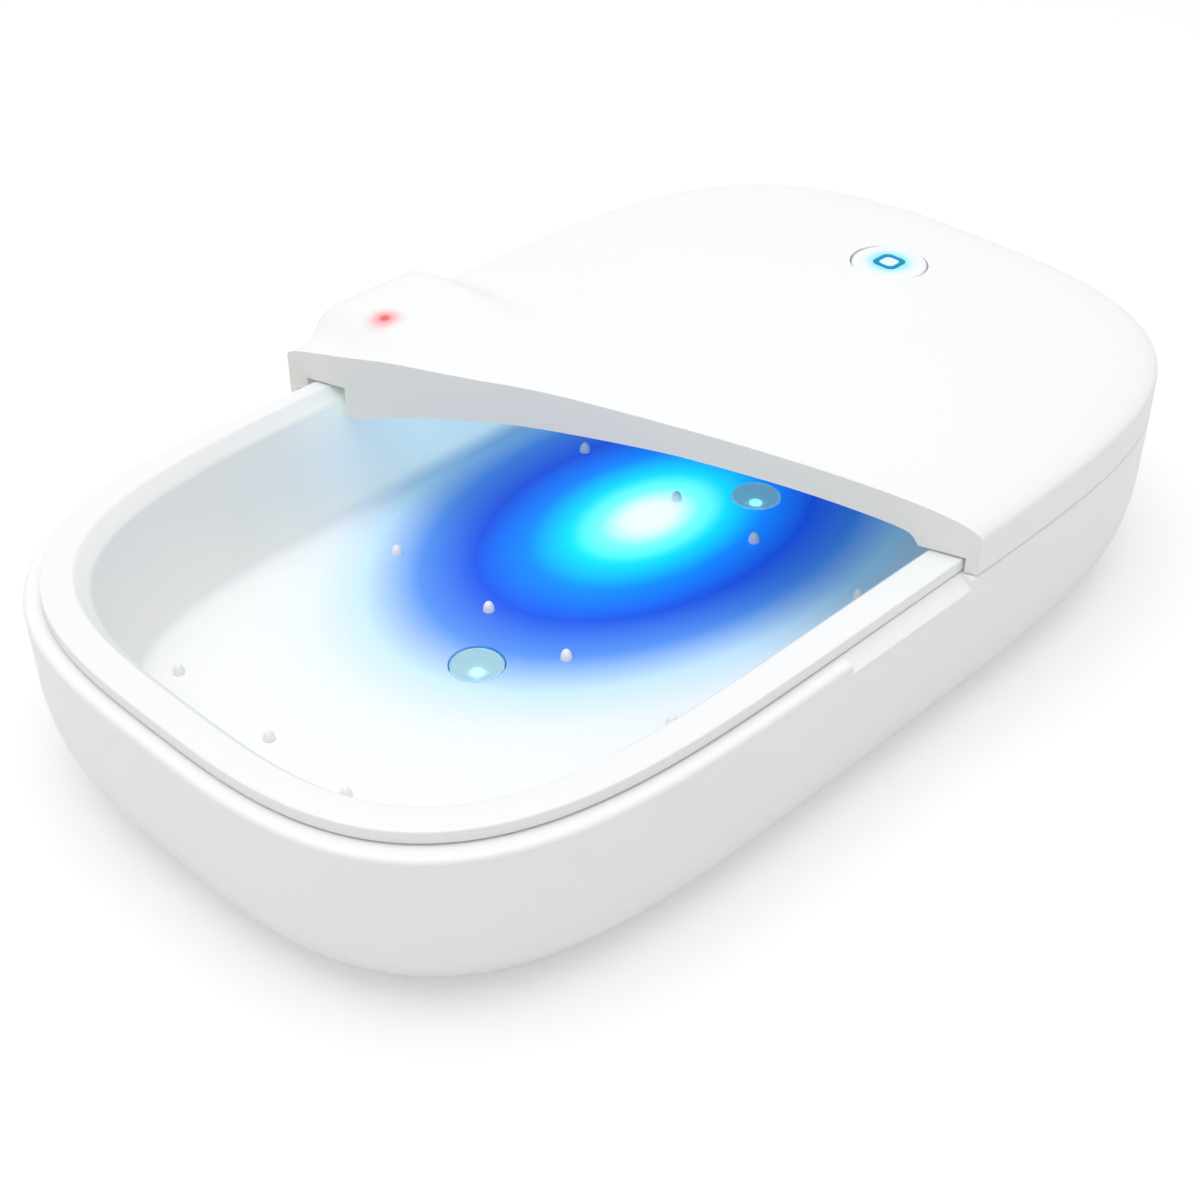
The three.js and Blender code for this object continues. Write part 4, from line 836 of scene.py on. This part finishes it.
def add_bottom_cover():
    top = BASE_BOTTOM + COVER_THICKNESS
    rings = [cover_ring(inset, z) for inset, z in
             rounded((GAP + COVER_EDGE, BASE_BOTTOM), (GAP, BASE_BOTTOM), (GAP, BASE_BOTTOM + COVER_EDGE), 4)]
    rings.append(cover_ring(GAP, top))
    under = BASE_BOTTOM - OVER
    pockets = []
    for corner in CORNERS:
        foot, screw = middle_of(f"foot_{corner}"), middle_of(f"cover_screw_{corner}")
        pockets += [
            drum(FOOT_RADIUS + GAP, under, BASE_BOTTOM + FOOT_SINK, foot),
            drum(SCREW_HEAD_RADIUS + GAP, under, BASE_BOTTOM + SCREW_HEAD_SINK, screw),
            drum(SCREW_HOLE_RADIUS, BASE_BOTTOM, top + OVER, screw, 32),
        ]
    bm = combined(shell_from_rings(rings), pockets)
    finish_piece("base_cover", bm, "base", "bottom_cover", "inner_white")


FOOT_PROFILE = [(0, 0.12), (3.9, 0.12), (4.2, 0), (5.5, 0), (5.8, 0.12), (6, 0.4), (6, 2), (0, 2)]


def add_feet():
    for corner in CORNERS:
        place = middle_of(f"foot_{corner}")
        bm = turned(FOOT_PROFILE, (place.x, place.y, 0.0), 96)
        finish_piece(f"rubber_foot_{corner}", bm, "base", f"foot_{corner}", "foot_rubber")


COVER_SCREW_PROFILE = [(0, 0), (1.8, 0), (2.2, 0.12), (2.45, 0.4), (2.5, 0.6), (2.5, 0.9), (1.1, 0.9),
                       (1.1, 4.9), (0.8, 5.2), (0, 5.2)]
LINER_SCREW_PROFILE = [(0, 0), (1.2, 0), (1.45, 0.1), (1.6, 0.35), (1.6, 0.8), (0.7, 0.8), (0.7, 3.2),
                       (0.5, 3.4), (0, 3.4)]


def add_screw(node, profile, body, length, depth):
    """A screw, head down, with a cross recess for the driver."""
    centre = middle_of(node)
    place = Vector((centre.x, centre.y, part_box(node)[0].z))
    width = length / 5
    tools = [block(place - Vector((x / 2, y / 2, OVER)), place + Vector((x / 2, y / 2, depth)))
             for x, y in ((length, width), (width, length))]
    bm = combined(turned(profile, place, 48), tools)
    finish_piece(f"crossed_{node}", bm, body, node, "steel")


def add_screws():
    for corner in CORNERS:
        add_screw(f"cover_screw_{corner}", COVER_SCREW_PROFILE, "base", *COVER_SCREW_CROSS)
    for place in LINER_SCREWS:
        add_screw(f"liner_screw_{place}", LINER_SCREW_PROFILE, "lid", *LINER_SCREW_CROSS)


# Chamber tub

def wall_inset(z):
    return CHAMBER_MARGIN + CHAMBER_DRAFT * (RIM_Z - z) / CHAMBER_DEPTH


def mouth_ring(bottom):
    """The raised ring round the mouth. Its top reaches out over the base's band except at the hinge."""
    under = RIM_Z + GAP
    profile = [(RING_MARGIN, bottom), (RING_MARGIN, under)]
    profile += rounded((OVERHANG_MARGIN + RING_EDGE, under), (OVERHANG_MARGIN, under),
                       (OVERHANG_MARGIN, under + RING_EDGE), 3)
    profile += rounded((OVERHANG_MARGIN, RING_TOP - RING_EDGE), (OVERHANG_MARGIN, RING_TOP),
                       (OVERHANG_MARGIN + RING_EDGE, RING_TOP), 4)
    bm = shell_from_rings(inset_rings(profile))
    bm = trimmed(bm, (0.0, OVERHANG_REAR, 0.0), (0.0, 1.0, 0.0), clear_far=True)
    return combined(bm, [upright_solid(RING_MARGIN + RING_WALL, bottom - OVER, RING_TOP + OVER,
                                       CHAMBER_POWERS)])


def add_chamber_tub():
    underside = CHAMBER_FLOOR - TUB_WALL
    fillet_top = CHAMBER_FLOOR + CHAMBER_FILLET
    floor_edge = wall_inset(CHAMBER_FLOOR) + CHAMBER_FILLET
    mouth = CHAMBER_MARGIN - CHAMBER_BEVEL
    rise = RING_TOP - RIM_Z
    ring_bottom = RIM_Z - BAND_DEPTH - GAP - TUB_WALL
    channel_top = RING_TOP - RING_WALL
    profile = rounded((floor_edge, CHAMBER_FLOOR), (wall_inset(CHAMBER_FLOOR), CHAMBER_FLOOR),
                      (wall_inset(fillet_top), fillet_top), 8)
    profile += [(wall_inset(RIM_Z - share * CHAMBER_DEPTH), RIM_Z - share * CHAMBER_DEPTH)
                for share in (0.6, 0.3)]
    profile += rounded((wall_inset(RIM_Z - OVER / 2), RIM_Z - OVER / 2), (CHAMBER_MARGIN, RIM_Z),
                       (CHAMBER_MARGIN - 0.2 * CHAMBER_BEVEL, RIM_Z + 0.2 * rise), 4)
    profile += rounded((mouth + 0.1 * CHAMBER_BEVEL, RIM_Z + 0.9 * rise), (mouth, RING_TOP),
                       (mouth - MOUTH_EDGE, RING_TOP), 4)
    seam = RING_MARGIN + RING_WALL - RING_SEAM
    profile += [(seam, RING_TOP), (seam, ring_bottom), (RING_MARGIN + RING_WALL, ring_bottom),
                (RING_MARGIN + RING_WALL, channel_top), (CHAMBER_MARGIN - TUB_WALL, channel_top),
                (CHAMBER_MARGIN - TUB_WALL, RIM_Z), (wall_inset(fillet_top) - TUB_WALL, fillet_top),
                (floor_edge - TUB_WALL, underside)]
    bm = shell_from_rings(inset_rings(profile), CHAMBER_POWERS)
    bm = combined(bm, [mouth_ring(ring_bottom)], "UNION")
    bm = combined(bm, [drum(WINDOW_RADIUS + GAP, underside - OVER, CHAMBER_FLOOR + OVER, middle_of(node))
                       for node in ("floor_window_left", "floor_window_right")])
    finish_piece("chamber_lining", bm, "base", "chamber_tub", "inner_white", [LAMPLIT_WHITE])


def add_floor_pegs():
    bm = bmesh.new()
    for x in PEG_COLUMNS:
        for row in PEG_ROWS:
            made = bmesh.ops.create_uvsphere(bm, u_segments=24, v_segments=16, radius=PEG_RADIUS)["verts"]
            bmesh.ops.scale(bm, vec=(1, 1, PEG_HEIGHT / PEG_RADIUS), verts=made)
            bmesh.ops.translate(bm, vec=(x, CASE_Y + row, CHAMBER_FLOOR), verts=made)
    bm = trimmed(bm, (0, 0, CHAMBER_FLOOR - PEG_SINK), (0, 0, 1))
    finish_piece("floor_pegs", bm, "base", "chamber_tub", "inner_white")


WINDOW_PROFILE = [(0, 0), (4.7, 0), (5, 0.3), (5, 1.1), (4.7, 1.4), (0, 1.4)]


def add_windows():
    for node, body in (("floor_window_left", "base"), ("floor_window_right", "base"),
                       ("ceiling_window_near", "lid"), ("ceiling_window_far", "lid")):
        centre = middle_of(node)
        bm = turned(WINDOW_PROFILE, (centre.x, centre.y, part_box(node)[0].z), 96)
        finish_piece(f"quartz_{node}", bm, body, node, "window_clear")


LENS_PROFILE = [(0, 0), (1.3, 0), (1.22, 0.12), (1.0, 0.22), (0.6, 0.28), (0, 0.3)]


def add_lamps():
    """Lamp packages, each with a low lens on the side that shines into the chamber."""
    for node, body, up in (("floor_uv_led_left", "base", 1), ("floor_uv_led_right", "base", 1),
                           ("ceiling_uv_led_near", "lid", -1), ("ceiling_uv_led_far", "lid", -1)):
        low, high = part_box(node)
        rise = Vector((0, 0, LENS_HEIGHT))
        if up > 0:
            package_low, package_high, seat = low, high - rise, high.z - LENS_HEIGHT
        else:
            package_low, package_high, seat = low + rise, high, low.z + LENS_HEIGHT
        centre = (low + high) / 2
        lens = turned([(radius, height * up) for radius, height in LENS_PROFILE],
                      (centre.x, centre.y, seat), 48)
        package = soften(block(package_low, package_high), LAMP_EDGE)
        finish_piece(f"package_{node}", package, body, node, "inner_white")
        finish_piece(f"lens_{node}", lens, body, node, "uv_lamp")


def add_power_socket():
    low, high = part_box("power_socket")
    centre = (low + high) / 2
    wall = Vector((SOCKET_WALL, SOCKET_WALL, SOCKET_WALL))
    mouth = rounded_block(low + wall, high - wall + Vector((0.0, wall.y + OVER, 0.0)), SOCKET_MOUTH_ROUND, 1)
    bm = combined(rounded_block(low, high, SOCKET_ROUND, 1), [mouth])
    finish_piece("socket_shell", bm, "base", "power_socket", "steel")
    tongue = block(
        (centre.x - TONGUE_HALF_LENGTH, low.y + wall.y / 2, centre.z - TONGUE_HALF_HEIGHT),
        (centre.x + TONGUE_HALF_LENGTH, high.y - TONGUE_SETBACK, centre.z + TONGUE_HALF_HEIGHT))
    finish_piece("socket_tongue", soften(tongue, TONGUE_EDGE), "base", "power_socket", "chip_black")
    contacts = bmesh.new()
    for index in range(CONTACT_COUNT):
        shift = (index - (CONTACT_COUNT - 1) / 2) * CONTACT_PITCH
        made = bmesh.ops.create_cube(contacts, size=1.0)["verts"]
        bmesh.ops.scale(contacts, vec=CONTACT_SIZE, verts=made)
        bmesh.ops.translate(contacts, vec=(centre.x + shift, high.y - CONTACT_SETBACK, centre.z), verts=made)
    finish_piece("socket_contacts", soften(contacts, CONTACT_EDGE), "base", "power_socket", "steel")


# Hinge

def knuckle_outline(steps=40):
    floor = RIM_Z - RECESS_DROP + GAP
    inner = REAR - BARREL_INSET
    outline = [(inner, floor), (inner + KNUCKLE_FOOT, floor)]
    for step in range(steps + 1):
        angle = math.pi * step / steps
        outline.append((HINGE_Y + KNUCKLE_RADIUS * math.cos(angle),
                        HINGE_Z + KNUCKLE_RADIUS * math.sin(angle)))
    return outline + [(inner, HINGE_Z - KNUCKLE_RADIUS)]


def add_hinge():
    for side in ("left", "right"):
        low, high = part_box(f"hinge_knuckle_{side}")
        solid = soften(drawn_along_x(knuckle_outline(), low.x, high.x), HINGE_EDGE, 3, 60)
        bm = combined(solid, [rod(BORE_RADIUS, low.x - OVER, high.x + OVER)])
        finish_piece(f"moulded_knuckle_{side}", bm, "base", f"hinge_knuckle_{side}", "case_white")
    low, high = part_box("hinge_pin")
    pin = soften(rod((high.z - low.z) / 2, low.x, high.x), HINGE_EDGE, 3)
    finish_piece("polished_hinge_pin", pin, "base", "hinge_pin", "steel")


# Lid casing

def crown_height(inward):
    """Height of the lid above the rim, at a share of the half width in from its edge."""
    run, fall = CROWN_POWERS
    return LID_RISE * (SIDE_SHARE + (1 - SIDE_SHARE) * (1 - (1 - min(inward, 1.0)) ** run) ** fall)


def crown_rings(wall=0.0):
    rings = []
    for share in CROWN_SHARES:
        inset = share * HALF_WIDTH
        rings.append((HALF_LENGTH - wall - inset * LID_END_FLATNESS,
                      max(HALF_WIDTH - wall - inset, CROWN_LEAST), RIM_Z - wall + crown_height(share), 0.0))
    return rings


def hump_share(x):
    """How far the hump stands out at a place along the lid, from 0 at its ends to 1."""
    length = HUMP_LEFT_LENGTH if x < 0 else HUMP_RIGHT_LENGTH
    return eased((1 - abs(x) / length) / (1 - HUMP_FLAT_SHARE))


def raise_hump(bm):
    """Swells the lid over the hinge: out past the rear edge and up to a top that rises to the rear."""
    reach = HALF_WIDTH + HUMP_REACH - HUMP_ROOT
    for vert in bm.verts:
        full = hump_share(vert.co.x)
        y = vert.co.y - CASE_Y
        if full <= 0 or y < HUMP_ROOT:
            continue
        outward = (y - HUMP_ROOT) / (HALF_WIDTH - HUMP_ROOT)
        y += HUMP_REACH * full * outward ** 2
        share = min(max((y - HUMP_ROOT) / reach, 0.0), 1.0)
        rise = HUMP_RISE + HUMP_LIFT * eased((y - HUMP_LIFT_START) / HUMP_LIFT_RUN)
        top = RIM_Z + rise * (1 - share ** HUMP_POWER) ** (1 / HUMP_POWER)
        if vert.co.z > RIM_Z + 0.45 * LID_RISE:
            vert.co.z += full * max(0.0, top - vert.co.z)
        vert.co.y = CASE_Y + y


def hinge_skirt():
    """The part of the lid's rear wall that reaches down into the recess in the base."""
    bottom, top = LID_BOTTOM - SKIRT_DROP, LID_BOTTOM + LID_EDGE + OVER
    rings = inset_rings(((SKIRT_INSET, bottom), (SKIRT_INSET, top), (SKIRT_WALL, top), (SKIRT_WALL, bottom)))
    rear = block((-SKIRT_HALF_LENGTH, 0.0, bottom - OVER), (SKIRT_HALF_LENGTH, 2 * HALF_WIDTH, top + OVER))
    return combined(shell_from_rings(rings, closed=True), [rear], "INTERSECT")


def lid_block():
    """The lid's outer form as a closed block, with the hump and the skirt at the hinge."""
    rings = inset_rings(rounded((LID_EDGE, LID_BOTTOM), (0.0, LID_BOTTOM), (0.0, LID_BOTTOM + LID_EDGE), 4))
    rings += [inset_ring(0.0, RIM_Z + share * LID_RISE) for share in (0.15, 0.3, 0.42)]
    bm = shell_from_rings(rings + crown_rings(), crown=CROWN_SHARES)
    raise_hump(bm)
    return combined(bm, [hinge_skirt()], "UNION")


def add_lid_casing():
    hollow = shell_from_rings([inset_ring(LID_WALL, LID_BOTTOM - OVER)] + crown_rings(LID_WALL),
                              crown=CROWN_SHARES)
    barrel = block((-BARREL_HALF_LENGTH, REAR - BARREL_INSET, LID_BOTTOM - 2 * OVER),
                   (BARREL_HALF_LENGTH, REAR + OVER, RIM_Z + LID_RISE))
    tools = [combined(hollow, [barrel])]
    for side in ("left", "right"):
        low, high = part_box(f"hinge_knuckle_{side}")
        tools.append(block((low.x - GAP, REAR - BARREL_INSET - OVER, RIM_Z - 3 * OVER),
                           (high.x + GAP, REAR + HUMP_REACH + OVER, HINGE_Z + KNUCKLE_WINDOW_RISE)))
    low_hole = RIM_Z + CEILING_RISE
    tools.append(rod(BORE_RADIUS, -BARREL_HALF_LENGTH - OVER, BARREL_HALF_LENGTH + OVER))
    for radius, top in ((BUTTON_RADIUS, RIM_Z + 2 * LID_RISE), (BUTTON_RADIUS + BUTTON_FLANGE, BUTTON_SEAT)):
        tools.append(drum(radius + BUTTON_GAP, low_hole, top, BUTTON_PLACE, 128))
    bm = beyond_section(combined(lid_block(), tools), SECTION_PLATE)
    finish_piece("lid_casing", bm, "lid", "lid_shell", "case_white", [LID_WHITE])


# Lid liner

def smoothed(rings, steps=4):
    """More rings, on a smooth curve through the given ones."""
    made = []
    last = len(rings) - 1
    for index in range(last):
        four = (rings[max(index - 1, 0)], rings[index], rings[index + 1], rings[min(index + 2, last)])
        for step in range(steps):
            t = step / steps
            made.append(tuple(
                b + (c - a) * t / 2 + (2 * a - 5 * b + 4 * c - d) * t ** 2 / 2
                + (3 * b - a - 3 * c + d) * t ** 3 / 2
                for a, b, c, d in zip(*four)))
    return made + [rings[last]]


def ceiling_rings(wall=0.0):
    half_length = HALF_LENGTH - CEILING_MARGIN
    half_width = HALF_WIDTH - CEILING_MARGIN
    return smoothed([
        (half_length * length + wall, half_width * (front + rear) / 2 + wall,
         RIM_Z + rise * MM + (wall if index else 0.0), half_width * (rear - front) / 2)
        for index, (rise, length, front, rear) in enumerate(CEILING_RINGS)])


def ceiling_space(wall=0.0):
    """The arched space under the ceiling, drawn down past the lip. A wall makes it that much larger."""
    rings = ceiling_rings(wall)
    half_length, half_width, z, shift = rings[0]
    return shell_from_rings([(half_length, half_width, z - OVER, shift)] + rings, CHAMBER_POWERS)


def liner_lip():
    """The lip inside the mouth, deepest at the hinge, cut off on a slope towards the front."""
    margin = CEILING_MARGIN - LINER_WALL
    bottom = RIM_Z - LIP_DROP
    edge = rounded((margin + LID_EDGE, bottom), (margin, bottom), (margin, bottom + LID_EDGE), 3)
    bm = shell_from_rings(inset_rings(edge + [(margin, LINER_BOTTOM + LINER_FLANGE / 2)]), CHAMBER_POWERS)
    run = LIP_SLOPE_LOW[0] - LIP_SLOPE_HIGH[0]
    fall = LIP_SLOPE_HIGH[1] - LIP_SLOPE_LOW[1]
    place = Vector((0.0, CASE_Y + LIP_SLOPE_LOW[0], RIM_Z + LIP_SLOPE_LOW[1]))
    return trimmed(bm, place, Vector((0.0, fall, run)).normalized())


def add_lid_liner():
    flange = upright_solid(LINER_FLANGE_MARGIN, LINER_BOTTOM, LINER_BOTTOM + LINER_FLANGE)
    mouth = upright_solid(CEILING_MARGIN + LIP_FILL, RIM_Z - LIP_DROP - OVER, RIM_Z + 2 * CEILING_RISE,
                          CHAMBER_POWERS)
    lip_wall = combined(liner_lip(), [mouth])
    above = block((-HALF_LENGTH, FRONT, LINER_BOTTOM + LINER_FLANGE / 4),
                  (HALF_LENGTH, REAR, RIM_Z + 2 * LID_RISE))
    arch = combined(ceiling_space(ARCH_WALL), [combined(above, [liner_lip()], "UNION")], "INTERSECT")
    solid = combined(flange, [arch, lip_wall], "UNION")
    tools = [ceiling_space()]
    for node in ("ceiling_window_near", "ceiling_window_far"):
        tools.append(drum(WINDOW_RADIUS + GAP, RIM_Z + CEILING_RISE / 2, RIM_Z + 2 * CEILING_RISE,
                          middle_of(node)))
    for place in LINER_SCREWS:
        centre = middle_of(f"liner_screw_{place}")
        tools.append(drum(LINER_HEAD_RADIUS + GAP, LINER_BOTTOM - OVER, LINER_BOTTOM + LINER_HEAD_SINK,
                          centre, 48))
        tools.append(drum(LINER_SHANK_RADIUS, LINER_BOTTOM, LINER_BOTTOM + 2 * LINER_FLANGE, centre, 32))
    bm = beyond_section(combined(solid, tools), SECTION_PLATE)
    finish_piece("lid_lining", bm, "lid", "lid_liner", "inner_white")


def add_section_face():
    """The grey face of the cut, with the white edge of the casing round it."""
    ring_space = upright_solid(LINER_FLANGE_MARGIN - OVER, LID_BOTTOM - OVER, LINER_BOTTOM)
    overhang_space = trimmed(upright_solid(OVERHANG_MARGIN - OVERHANG_ROOM, LID_BOTTOM - OVER, LINER_BOTTOM),
                             (0.0, CASE_Y, 0.0), (0.0, 1.0, 0.0), clear_far=True)
    bm = combined(combined(lid_block(), [ring_space, overhang_space]), [liner_lip()], "UNION")
    bm = beyond_section(beyond_section(bm, 0.0), SECTION_PLATE, clear_far=True)
    bm = combined(bm, [ceiling_space()])
    bm.normal_update()
    for face in bm.faces:
        face.material_index = 1 if abs(face.normal.dot(SECTION_NORMAL)) > 0.9 else 0
    finish_piece("section_face", bm, "lid", "section_plate", "section_grey",
                 [LID_WHITE, FINISHES["section_grey"]])


# Power button

def icon_ring(grow, bottom, top):
    """The icon's rounded square line, grown by a little where it is a tool."""
    half = ICON_HALF + grow
    outer = rounded_block((BUTTON_X - half, CASE_Y - half, bottom), (BUTTON_X + half, CASE_Y + half, top),
                          ICON_CORNER + grow, 2)
    half = ICON_HALF - ICON_LINE - grow
    inner = rounded_block((BUTTON_X - half, CASE_Y - half, bottom - OVER),
                          (BUTTON_X + half, CASE_Y + half, top + OVER), ICON_CORNER - ICON_LINE / 2 - grow, 2)
    return combined(outer, [inner])


def add_button():
    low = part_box("button_cap")[0].z
    height = (BUTTON_TOP - low) / MM
    profile = [(0, 0), (8.6, 0), (8.6, 0.6), (7.5, 0.6), (7.5, height - 0.55), (7.44, height - 0.38),
               (7.25, height - 0.24), (6.9, height - 0.17), (5.5, height - 0.08), (3.75, height - 0.02),
               (0, height)]
    tools = [drum(BUTTON_POCKET, low - OVER, BUTTON_TOP - BUTTON_SKIN, BUTTON_PLACE, 64),
             icon_ring(ICON_PLAY, ICON_TOP - ICON_THICKNESS - ICON_SINK, ICON_TOP + OVER)]
    bm = combined(turned(profile, (BUTTON_X, CASE_Y, low), 128), tools)
    bmesh.ops.holes_fill(bm, edges=bm.edges, sides=0)
    finish_piece("button_face", bm, "button", "button_cap", "case_white", [BUTTON_WHITE])
    icon = soften(icon_ring(0.0, ICON_TOP - ICON_THICKNESS, ICON_TOP), ICON_EDGE, 2, 60)
    finish_piece("button_light", icon, "button", "button_icon", "icon_teal")


# Studio

def add_floor():
    """A white floor. Part of what the camera sees of it is plain white, so that the shadow is soft.

    It sends less light back up to the box than the camera sees on it.
    """
    bm = bmesh.new()
    bmesh.ops.create_grid(bm, x_segments=2, y_segments=2, size=4.0)
    floor = mesh_object("studio_floor", bm)
    material, tree, shader = new_material("studio_floor", {"Roughness": 0.9, "Specular IOR Level": 0.1})
    seen = tree.nodes.new("ShaderNodeLightPath").outputs["Is Camera Ray"]
    paper = tree.nodes.new("ShaderNodeEmission")
    share = add_node(tree, "Math", {0: seen, 1: PAPER_SHARE}, "MULTIPLY")
    both = add_node(tree, "MixShader", {0: share.outputs[0], 1: shader.outputs[0], 2: paper.outputs[0]})
    feed(tree, tree.nodes["Material Output"], {"Surface": both.outputs[0]})
    feed(tree, shader, {"Base Color": blended(tree, seen, FLOOR_BOUNCE, FLOOR_SEEN)})
    floor.data.materials.append(material)


def add_world():
    """Soft light from all round, brighter overhead, and a white backdrop."""
    world = bpy.data.worlds.new("studio")
    bpy.context.scene.world = world
    world.use_nodes = True
    tree = world.node_tree
    place = tree.nodes.new("ShaderNodeTexCoord").outputs["Generated"]
    parts = add_node(tree, "SeparateXYZ", {0: place})
    light = add_node(tree, "MapRange", {"Value": parts.outputs["Z"], "To Min": SKY_LOW, "To Max": SKY_HIGH})
    rays = tree.nodes.new("ShaderNodeLightPath").outputs
    white = rays["Is Camera Ray"]
    for kind in ("Is Transmission Ray", "Is Glossy Ray"):
        either = add_node(tree, "Math", {0: white, 1: rays[kind]}, "ADD")
        either.use_clamp = True
        white = either.outputs[0]
    strength = add_node(tree, "Mix", {"Factor": white, "A": light.outputs["Result"], "B": 1.0})
    feed(tree, tree.nodes["Background"], {"Strength": strength.outputs["Result"], "Color": (1.0, 1.0, 1.0)})


def add_light(name, place, size, energy):
    data = bpy.data.lights.new(name, "AREA")
    data.size = size
    data.energy = energy
    light = bpy.data.objects.new(name, data)
    light.location = place
    light.rotation_euler = (-Vector(place)).to_track_quat("-Z", "Y").to_euler()
    bpy.context.scene.collection.objects.link(light)


def add_camera():
    data = bpy.data.cameras.new("camera")
    data.lens = CAMERA_LENS
    data.sensor_width = CAMERA_SENSOR
    data.clip_start = CAMERA_CLIP
    camera = bpy.data.objects.new("camera", data)
    ahead = Vector((math.cos(CAMERA_AZIMUTH) * math.cos(CAMERA_PITCH),
                    math.sin(CAMERA_AZIMUTH) * math.cos(CAMERA_PITCH), -math.sin(CAMERA_PITCH)))
    camera.location = CAMERA_AIM - ahead * CAMERA_DISTANCE
    camera.rotation_euler = ahead.to_track_quat("-Z", "Y").to_euler()
    bpy.context.scene.collection.objects.link(camera)
    bpy.context.scene.camera = camera


dress_nodes()
add_base_casing()
add_bottom_cover()
add_feet()
add_screws()
add_chamber_tub()
add_floor_pegs()
add_windows()
add_lamps()
add_power_socket()
add_hinge()
add_lid_casing()
add_lid_liner()
add_section_face()
add_button()

add_floor()
add_world()
add_light("overhead", (-0.15, 0.0, 1.05), 0.9, 4.8)
add_camera()
bpy.context.scene.view_settings.view_transform = "Standard"
